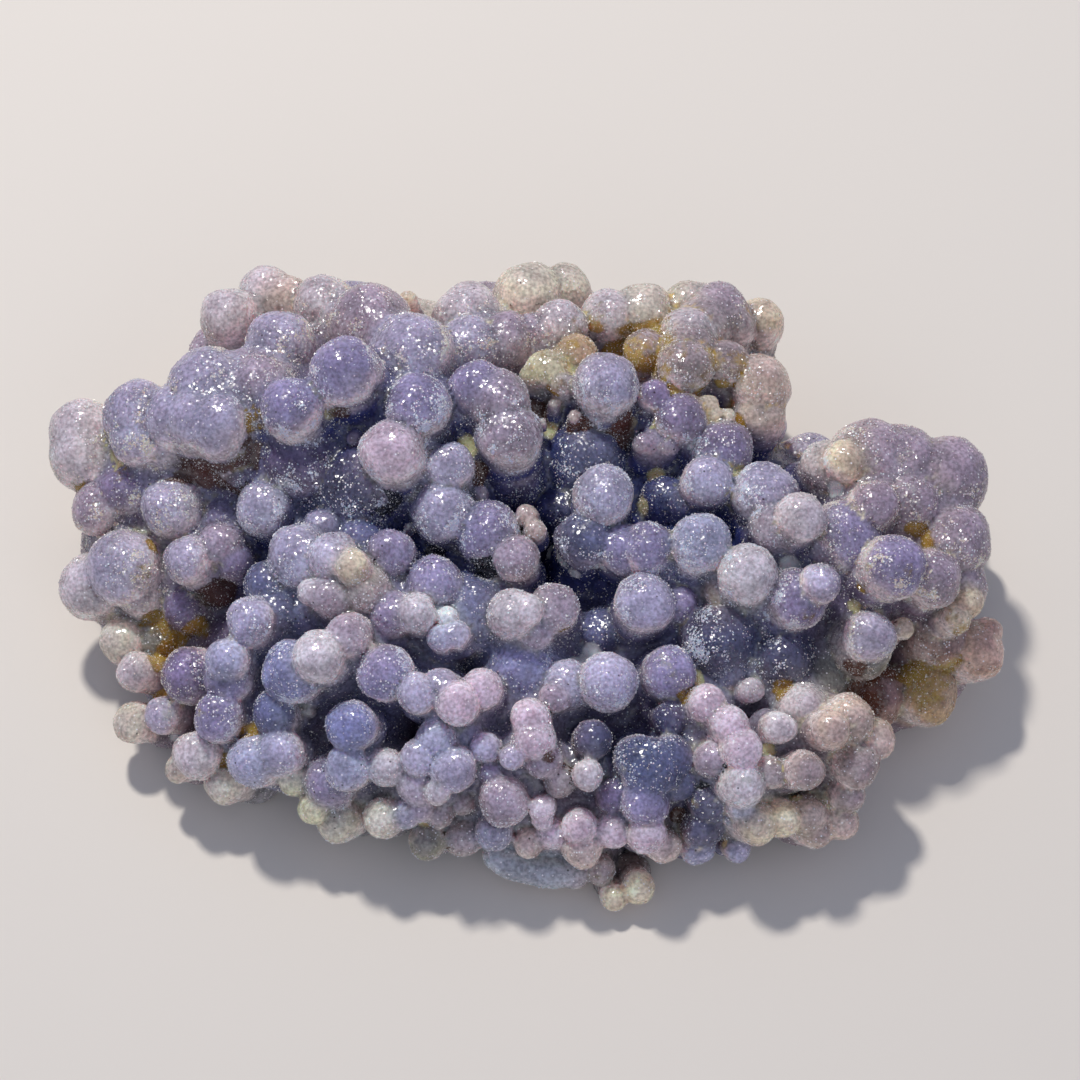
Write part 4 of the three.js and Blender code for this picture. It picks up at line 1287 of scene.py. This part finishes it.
@dataclass(frozen=True)
class Dots:
    """Round grains of one tint, one in some of the cells that the surface is parted into.

    The soft edge of a grain goes from its first to its second radius, in cells. A cell draws a lot
    from 0 to 1, and has no grain below the first lot and a full one from the second.
    """

    tint: str
    cell_mm: float
    radii: tuple[float, float]
    lots: tuple[float, float]
    strength: float


@dataclass(frozen=True)
class Patches:
    """Ragged patches, where a pattern's height and a pull together pass a brink."""

    size_mm: float
    detail: float
    raggedness: float
    pull: float
    brink: tuple[float, float]
    strength: float


@dataclass(frozen=True)
class ChalcedonyFinish:
    """Chalcedony, grown as balls with a skin of microscopic quartz.

    Its tints come from the stone's own colour at each point. Light goes some millimetres into it,
    red the farthest, which gives the soft, jelly-like look of the pale balls. Where druse grows it
    is flecked and specked white, and worn faces are glassy. The real specks, flecks and crystal
    facets are finer than a tenth of a millimetre, which is too fine to show. They are drawn two to
    four times as coarse.
    """

    clouds: tuple[Cloud, ...] = (Cloud(2.6, 0.22), Cloud(0.34, 0.28))
    cloud_heights: tuple[float, float] = (0.3, 0.7)
    pits: Dots = Dots("#2a2424", 0.9, (0.14, 0.08), (0.82, 0.86), 0.8)
    flecks: Patches = Patches(0.36, 2.0, 0.7, 0.36, (0.72, 0.78), 0.85)
    specks: Dots = Dots("#f2f0f6", 0.24, (0.42, 0.3), (0.9, 1.0), 0.9)
    # these patches lay the stained colour, which carries the painted shade of the deep gaps too
    stains: Patches = Patches(0.72, 4.0, 0.5, 1.0, (0.88, 1.2), 0.9)
    facet_mm: float = 0.24
    facet_lean: tuple[float, float] = (0.25, 1.0)
    full_lean_druse: float = 0.15
    rough_to_worn: tuple[float, float] = (0.25, 0.16)
    glow_mm: float = 3.6
    glow: tuple[float, float, float] = (1.0, 0.62, 0.66)
    refraction: float = 1.54

    def material(self) -> bpy.types.Material:
        """Returns the chalcedony as a Blender material."""
        made = bpy.data.materials.new("chalcedony_grown_skin")
        made.use_nodes = True
        tree = made.node_tree
        shader = tree.nodes["Principled BSDF"]
        place = add(tree, "ShaderNodeTexCoord").outputs["Object"]
        share = {
            name: add(tree, "ShaderNodeAttribute", attribute_name=name).outputs["Fac"]
            for name in ("druse", "smooth", "stain")
        }
        tint = {
            name: add(tree, "ShaderNodeAttribute", attribute_name=name).outputs["Color"]
            for name in ("tint", "fleck_tint", "stain_tint")
        }
        colour = self.clouded(tree, place, tint["tint"])
        colour = self.dotted(tree, place, colour, self.pits)
        colour = self.patched(tree, place, (colour, tint["fleck_tint"]), share["druse"], self.flecks)
        colour = self.dotted(tree, place, colour, self.specks, share["druse"])
        colour = self.patched(tree, place, (colour, tint["stain_tint"]), share["stain"], self.stains)
        rough, worn = self.rough_to_worn
        gloss = add(tree, RANGE, {"To Min": rough, "To Max": worn}, {"Value": share["smooth"]})
        tree.links.new(colour, shader.inputs["Base Color"])
        tree.links.new(gloss.outputs["Result"], shader.inputs["Roughness"])
        tree.links.new(self.relief(tree, place, share["druse"]), shader.inputs["Normal"])
        shader.inputs["IOR"].default_value = self.refraction
        shader.inputs["Subsurface Weight"].default_value = 1.0
        shader.inputs["Subsurface Radius"].default_value = self.glow
        shader.inputs["Subsurface Scale"].default_value = self.glow_mm * METRES
        return made

    def clouded(self, tree: Tree, place: Socket, colour: Socket) -> Socket:
        """Clouds the colour softly, as the inside of the balls is.

        Args:
            tree: the material's nodes.
            place: where the point is.
            colour: the plain colour.

        Returns:
            The clouded colour.
        """
        names = ("From Min", "From Max", "To Min", "To Max")
        for cloud in self.clouds:
            scale = 1 / (cloud.size_mm * METRES)
            height = add(tree, NOISE, {"Scale": scale, "Detail": 1.0}, {"Vector": place})
            values = dict(zip(names, (*self.cloud_heights, 1 - cloud.depth, 1 + cloud.depth)))
            level = add(tree, RANGE, values, {"Value": height.outputs["Fac"]})
            links = {0: colour, "Scale": level.outputs["Result"]}
            colour = add(tree, VECTOR, None, links, operation="SCALE").outputs[0]
        return colour

    def dotted(
        self, tree: Tree, place: Socket, colour: Socket, dots: Dots, luck: Socket | None = None
    ) -> Socket:
        """Puts grains on the colour.

        Args:
            tree: the material's nodes.
            place: where the point is.
            colour: the colour under the grains.
            dots: what grains.
            luck: what is added to the lots, if anything.

        Returns:
            The colour with the grains.
        """
        scale = 1 / (dots.cell_mm * METRES)
        cells = add(tree, CELLS, {"Scale": scale}, {"Vector": place})
        far, near = dots.radii
        dot = add(
            tree,
            RANGE,
            {"From Min": far, "From Max": near, "To Max": dots.strength},
            {"Value": cells.outputs["Distance"]},
        )
        lot = add(tree, "ShaderNodeSeparateColor", None, {0: cells.outputs["Color"]}).outputs[0]
        if luck is not None:
            lot = add(tree, MATH, None, {0: lot, 1: luck}, operation="ADD").outputs[0]
        low, high = dots.lots
        drawn = add(tree, RANGE, {"From Min": low, "From Max": high}, {"Value": lot})
        both = {0: dot.outputs["Result"], 1: drawn.outputs["Result"]}
        share = add(tree, MATH, None, both, operation="MULTIPLY").outputs[0]
        values = {7: rgba(linear(dots.tint))}
        return add(tree, MIX, values, {0: share, 6: colour}, data_type="RGBA").outputs[2]

    def patched(
        self,
        tree: Tree,
        place: Socket,
        colours: tuple[Socket, Socket],
        amount: Socket,
        patches: Patches,
    ) -> Socket:
        """Lays one colour in ragged patches over another.

        Args:
            tree: the material's nodes.
            place: where the point is.
            colours: the colour under the patches, and theirs.
            amount: how much of them there is.
            patches: what patches.

        Returns:
            The patched colour.
        """
        scale = 1 / (patches.size_mm * METRES)
        values = {"Scale": scale, "Detail": patches.detail, "Roughness": patches.raggedness}
        pattern = add(tree, NOISE, values, {"Vector": place})
        links = {0: amount, 2: pattern.outputs["Fac"]}
        height = add(tree, MATH, {1: patches.pull}, links, operation="MULTIPLY_ADD")
        low, high = patches.brink
        share = add(
            tree,
            RANGE,
            {"From Min": low, "From Max": high, "To Max": patches.strength},
            {"Value": height.outputs[0]},
        )
        links = {0: share.outputs["Result"], 6: colours[0], 7: colours[1]}
        return add(tree, MIX, None, links, data_type="RGBA").outputs[2]

    def relief(self, tree: Tree, place: Socket, druse: Socket) -> Socket:
        """Facets the skin as crystals do that are too small to be shapes of their own.

        Args:
            tree: the material's nodes.
            place: where the point is.
            druse: how thick the druse is, which makes the facets lean more.

        Returns:
            The normal of the facets.
        """
        cells = add(tree, CELLS, {"Scale": 1 / (self.facet_mm * METRES)}, {"Vector": place})
        links = {0: cells.outputs["Color"]}
        way = add(tree, VECTOR, {1: (0.5, 0.5, 0.5)}, links, operation="SUBTRACT")
        least, most = self.facet_lean
        values = {"From Max": self.full_lean_druse, "To Min": least, "To Max": most}
        lean = add(tree, RANGE, values, {"Value": druse})
        skin = add(tree, "ShaderNodeNewGeometry").outputs["Normal"]
        links = {0: way.outputs[0], 1: lean.outputs["Result"], 2: skin}
        facets = add(tree, VECTOR, None, links, operation="MULTIPLY_ADD")
        return add(tree, VECTOR, None, {0: facets.outputs[0]}, operation="NORMALIZE").outputs[0]


@dataclass(frozen=True)
class SugarFinish:
    """Druse: quartz points a quarter of a millimetre across, clear to white.

    Their flat, glossy faces give the glitter. Some are as white as frost and the others take the
    colour of the stone that they stand on, with its stains and painted shade.
    """

    frost_tint: str = "#f6f1ea"
    frost_lots: tuple[float, float] = (0.5, 0.9)
    frost_share: tuple[float, float] = (0.05, 0.98)
    roughness: float = 0.16
    refraction: float = 1.54

    def material(self) -> bpy.types.Material:
        """Returns the sugar as a Blender material."""
        made = bpy.data.materials.new("quartz_druse")
        made.use_nodes = True
        tree = made.node_tree
        shader = tree.nodes["Principled BSDF"]
        tint = add(tree, "ShaderNodeAttribute", attribute_name="crystal_tint").outputs["Color"]
        frost = add(tree, "ShaderNodeAttribute", attribute_name="frost").outputs["Fac"]
        names = ("From Min", "From Max", "To Min", "To Max")
        values = dict(zip(names, self.frost_lots + self.frost_share))
        share = add(tree, RANGE, values, {"Value": frost})
        values = {7: rgba(linear(self.frost_tint))}
        links = {0: share.outputs["Result"], 6: tint}
        colour = add(tree, MIX, values, links, data_type="RGBA")
        tree.links.new(colour.outputs[2], shader.inputs["Base Color"])
        shader.inputs["Roughness"].default_value = self.roughness
        shader.inputs["IOR"].default_value = self.refraction
        return made


@dataclass
class Sugar:
    """The crust of tiny quartz points that Geometry Nodes grow on the balls.

    Real ones are finer than a tenth of a millimetre, which is too fine to show, so that these are
    fewer and two to three times as coarse. Most are small: the higher the smallness, the fewer
    come near the largest size.
    """

    finish: SugarFinish = field(default_factory=SugarFinish)
    per_mm2: float = 36.0
    width_mm: float = 0.24
    height_mm: float = 0.15
    sunk_share: float = 0.25
    lean_deg: float = 42.0
    sides: int = 3
    sizes: tuple[float, float] = (0.3, 1.25)
    smallness: float = 2.5
    seed: int = 7
    size_seed: int = 5
    turn_seed: int = 11
    frost_seed: int = 3
    borders_mm: tuple[float, ...] = (-50, -27, -11, 3, 16, 30, 50)

    def tree(self) -> Tree:
        """Returns the node tree that grows the sugar, with its sizes as named inputs."""
        tree = bpy.data.node_groups.new("grow_sugar", "GeometryNodeTree")
        inputs = {"Stone": "Geometry"}
        inputs |= dict.fromkeys(("Thickness", "Width", "Height", "Sunk", "Lean"), "Float")
        inputs |= {"Seed": "Int", "Finish": "Material"}
        for name, kind in inputs.items():
            tree.interface.new_socket(name, in_out="INPUT", socket_type="NodeSocket" + kind)
        tree.interface.new_socket("Sugar", in_out="OUTPUT", socket_type="NodeSocketGeometry")
        given = add(tree, "NodeGroupInput").outputs
        sunk = self.planted(tree, given)
        values = {"Seed": self.frost_seed}
        frost = add(tree, "FunctionNodeRandomValue", values, data_type="FLOAT")
        marked = add(
            tree,
            "GeometryNodeStoreNamedAttribute",
            {"Name": "frost"},
            {"Geometry": sunk, "Value": frost.outputs[1]},
            data_type="FLOAT",
            domain="INSTANCE",
        )
        real = add(tree, "GeometryNodeRealizeInstances", None, {0: marked.outputs[0]})
        values, links = {"Shade Smooth": False}, {0: real.outputs[0]}
        flat = add(tree, "GeometryNodeSetShadeSmooth", values, links)
        links = {"Geometry": flat.outputs[0], "Material": given["Finish"]}
        dressed = add(tree, "GeometryNodeSetMaterial", None, links)
        add(tree, "NodeGroupOutput", None, {"Sugar": dressed.outputs[0]})
        return tree

    def planted(self, tree: Tree, given: bpy.types.NodeOutputs) -> Socket:
        """Stands crystals by chance on the stone, thickest where it is marked so.

        Args:
            tree: the node tree.
            given: its inputs.

        Returns:
            The crystals, sunk a little into the stone.
        """
        thick = add(tree, "GeometryNodeInputNamedAttribute", {"Name": "sugar"}, data_type="FLOAT")
        links = {0: thick.outputs["Attribute"], 1: given["Thickness"]}
        spread = add(tree, MATH, None, links, operation="MULTIPLY")
        points = add(
            tree,
            "GeometryNodeDistributePointsOnFaces",
            None,
            {"Mesh": given["Stone"], "Density": spread.outputs[0], "Seed": given["Seed"]},
            distribute_method="RANDOM",
        )
        crystal = add(
            tree,
            "GeometryNodeMeshCone",
            {"Vertices": self.sides, "Radius Top": 0.0},
            {"Radius Bottom": given["Width"], "Depth": given["Height"]},
        )
        values = {"Seed": self.size_seed}
        luck = add(tree, "FunctionNodeRandomValue", values, data_type="FLOAT")
        size = add(tree, MATH, {1: self.smallness}, {0: luck.outputs[1]}, operation="POWER")
        least, most = self.sizes
        size = add(tree, RANGE, {"To Min": least, "To Max": most}, {"Value": size.outputs[0]})
        crystals = add(
            tree,
            "GeometryNodeInstanceOnPoints",
            None,
            {
                "Points": points.outputs["Points"],
                "Instance": crystal.outputs["Mesh"],
                "Rotation": self.leaning(tree, points.outputs["Rotation"], given["Lean"]),
                "Scale": size.outputs["Result"],
            },
        )
        sink = add(tree, "ShaderNodeCombineXYZ", None, {"Z": given["Sunk"]})
        links = {"Instances": crystals.outputs[0], "Translation": sink.outputs[0]}
        return add(tree, "GeometryNodeTranslateInstances", None, links).outputs[0]

    def leaning(self, tree: Tree, upright: Socket, lean: Socket) -> Socket:
        """Turns each crystal round and leans it over by chance.

        Args:
            tree: the node tree.
            upright: the turn that stands a crystal on the stone.
            lean: the most that it leans.

        Returns:
            The turn of each crystal.
        """
        back = add(tree, MATH, {1: -1.0}, {0: lean}, operation="MULTIPLY").outputs[0]
        least = add(tree, "ShaderNodeCombineXYZ", {"Z": -math.pi}, {"X": back, "Y": back})
        most = add(tree, "ShaderNodeCombineXYZ", {"Z": math.pi}, {"X": lean, "Y": lean})
        chance = add(
            tree,
            "FunctionNodeRandomValue",
            {"Seed": self.turn_seed},
            {0: least.outputs[0], 1: most.outputs[0]},
            data_type="FLOAT_VECTOR",
        )
        turn = add(tree, "FunctionNodeEulerToRotation", None, {0: chance.outputs[0]})
        links = {0: upright, 1: turn.outputs[0]}
        kind = "FunctionNodeRotateRotation"
        return add(tree, kind, None, links, rotation_space="LOCAL").outputs[0]

    def grow_on(
        self, name: str, patch: bpy.types.Mesh, tree: Tree, finish: bpy.types.Material
    ) -> bpy.types.Object:
        """Grows the sugar of one part of the stone.

        Args:
            name: the piece's name.
            patch: that part of the stone's surface.
            tree: the node tree.
            finish: the sugar's material.

        Returns:
            The sugar as a plain mesh object.
        """
        host = show(name + "_host", patch)
        grower = host.modifiers.new("grow", "NODES")
        grower.node_group = tree
        sizes = {
            "Thickness": self.per_mm2 / METRES**2,
            "Width": self.width_mm / 2 * METRES,
            "Height": self.height_mm * METRES,
            "Sunk": -self.sunk_share * self.height_mm * METRES,
            "Lean": math.radians(self.lean_deg),
            "Seed": self.seed,
            "Finish": finish,
        }
        for item in tree.interface.items_tree:
            if item.name in sizes:
                grower[item.identifier] = sizes[item.name]
        graph = bpy.context.evaluated_depsgraph_get()
        mesh = bpy.data.meshes.new_from_object(host.evaluated_get(graph))
        host.modifiers.clear()
        bpy.data.objects.remove(host)
        mesh.name = name
        mesh.materials.clear()
        mesh.materials.append(finish)
        return show(name, mesh)


@dataclass
class Specimen:
    """The whole stone: its skin, its colours and its sugar."""

    growth: Growth = field(default_factory=Growth)
    depth: DepthField = field(default_factory=DepthField)
    colouring: Colouring = field(default_factory=Colouring)
    stone_finish: ChalcedonyFinish = field(default_factory=ChalcedonyFinish)
    sugar: Sugar = field(default_factory=Sugar)
    skin: Skin = field(default=None, repr=False)
    layers: dict[str, np.ndarray] = field(default=None, repr=False)
    most_triangles: int = 190_000
    swells: tuple[tuple[float, float], ...] = ((0.3, 2.6), (0.08, 0.9))
    even_foot_mm: float = 0.3
    foot_fade_mm: float = 2.0

    def shape(self) -> None:
        """Grows the skin of the stone and works out its colours."""
        lumps = self.growth.lumps()
        self.depth.grow(lumps)
        self.skin = Skin.around(self.depth)
        self.skin.settle(self.depth)
        self.skin.thin(self.most_triangles)
        self.skin.measure_normals()
        self.skin.roughen(self.swells, self.even_foot_mm, self.foot_fade_mm)
        self.skin.measure_normals()
        self.colouring.paint(self.skin, self.depth, self.growth.view, lumps)
        self.layers = self.colouring.layers()
        log.info("skin: %d points, %d faces", len(self.skin.points), len(self.skin.faces))

    def dress(self, mesh: bpy.types.Mesh, rows: np.ndarray) -> None:
        """Stores the stone's colours on a mesh of some of its points.

        Args:
            mesh: the mesh.
            rows: the numbers of its points in the skin.
        """
        for name, values in self.layers.items():
            store(mesh, name, values[rows])

    def make_stone(self) -> bpy.types.Object:
        """Makes the stone itself, in place of the plain solid."""
        mesh = make_mesh("grown_stone", self.skin.points, self.skin.faces)
        self.dress(mesh, np.arange(len(self.skin.points)))
        mesh.shade_smooth()
        mesh.materials.append(self.stone_finish.material())
        stone = show("grown_stone", mesh)
        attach(stone, BODY)
        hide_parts(NODE)
        return stone

    def patch(self, name: str, low: float, high: float) -> bpy.types.Mesh:
        """Cuts a part of the skin out, between two places along the stone.

        Args:
            name: the mesh's name.
            low: where it starts, in millimetres.
            high: where it ends.

        Returns:
            The part as a mesh with its colours.
        """
        middle = self.skin.points[self.skin.faces].mean(axis=1)[:, 0]
        faces = self.skin.faces[(middle >= low) & (middle < high)]
        rows, numbers = np.unique(faces, return_inverse=True)
        mesh = make_mesh(name, self.skin.points[rows], numbers.reshape(faces.shape))
        self.dress(mesh, rows)
        return mesh

    def make_sugar(self) -> None:
        """Makes the sugar, as one piece for each stretch along the stone."""
        tree = self.sugar.tree()
        finish = self.sugar.finish.material()
        borders = self.sugar.borders_mm
        for number, (low, high) in enumerate(zip(borders, borders[1:]), start=1):
            name = f"sugar_{number}"
            piece = self.sugar.grow_on(name, self.patch(name, low, high), tree, finish)
            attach(piece, BODY)
            log.info("%s: %d faces", name, len(piece.data.polygons))


@dataclass(frozen=True)
class Studio:
    """A pale floor, soft lights and the camera at the photo's angle."""

    view: PhotoView = PhotoView()
    floor_tint: str = "#ddd6ce"
    floor_roughness: float = 0.8
    floor_span: float = 3.0
    key_from: tuple[float, float, float] = (-0.22, 0.44, 0.87)
    key_tint: str = "#fffbf4"
    key_away: float = 0.6
    key_span: float = 0.05
    key_power: float = 2.7
    fill_from: tuple[float, float, float] = (0.2, -0.85, 0.5)
    fill_away: float = 0.7
    fill_span: float = 0.6
    fill_power: float = 0.8
    air_tint: str = "#ccd8f6"
    air_strength: float = 0.42
    sharp_range: tuple[float, float] = (0.01, 10.0)

    def floor(self) -> None:
        """Lays the floor under the stone."""
        half = self.floor_span / METRES / 2
        points = np.array([(-half, -half, 0), (half, -half, 0), (half, half, 0), (-half, half, 0)])
        mesh = make_mesh("floor", points, np.array([[0, 1, 2, 3]]))
        paint = bpy.data.materials.new("pale_paper")
        paint.use_nodes = True
        shader = paint.node_tree.nodes["Principled BSDF"]
        shader.inputs["Base Color"].default_value = rgba(linear(self.floor_tint))
        shader.inputs["Roughness"].default_value = self.floor_roughness
        mesh.materials.append(paint)
        show("floor", mesh)

    def lamp(self, name: str, way: tuple, away: float, span: float, power: float) -> bpy.types.Light:
        """Hangs a square soft light that faces the stone.

        Args:
            name: the light's name.
            way: direction from the stone to it.
            away: distance in metres.
            span: its side in metres.
            power: its strength in watts.

        Returns:
            The light.
        """
        light = bpy.data.lights.new(name, "AREA")
        light.size = span
        light.energy = power
        lamp = bpy.data.objects.new(name, light)
        direction = Vector(way).normalized()
        lamp.location = direction * away
        lamp.rotation_euler = direction.to_track_quat("Z", "Y").to_euler()
        bpy.context.scene.collection.objects.link(lamp)
        return light

    def air(self) -> None:
        """Fills the room with an even light."""
        world = bpy.data.worlds.new("studio")
        world.use_nodes = True
        glow = world.node_tree.nodes["Background"]
        glow.inputs["Color"].default_value = rgba(linear(self.air_tint))
        glow.inputs["Strength"].default_value = self.air_strength
        bpy.context.scene.world = world

    def camera(self) -> None:
        """Stands the camera where the photo was taken from."""
        data = bpy.data.cameras.new("camera")
        data.sensor_width = self.view.sensor_mm
        data.lens = self.view.sensor_mm * self.view.distance / self.view.width
        data.clip_start, data.clip_end = self.sharp_range
        camera = bpy.data.objects.new("camera", data)
        camera.location = Vector(self.view.eye()) * METRES
        camera.rotation_euler = Vector(self.view.back()).to_track_quat("Z", "Y").to_euler()
        bpy.context.scene.collection.objects.link(camera)
        bpy.context.scene.camera = camera

    def build(self) -> None:
        """Sets everything up."""
        self.floor()
        sun = self.lamp("key", self.key_from, self.key_away, self.key_span, self.key_power)
        sun.color = linear(self.key_tint)
        self.lamp("fill", self.fill_from, self.fill_away, self.fill_span, self.fill_power)
        self.air()
        self.camera()
        bpy.context.scene.view_settings.view_transform = "Standard"


def main() -> None:
    """Builds the dressed specimen and the studio."""
    logging.basicConfig(level=logging.INFO, format="%(name)s: %(message)s")
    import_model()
    specimen = Specimen()
    specimen.shape()
    stone = specimen.make_stone()
    log.info("%s: %d faces", stone.name, len(stone.data.polygons))
    specimen.make_sugar()
    Studio().build()


if __name__ == "__main__":
    main()
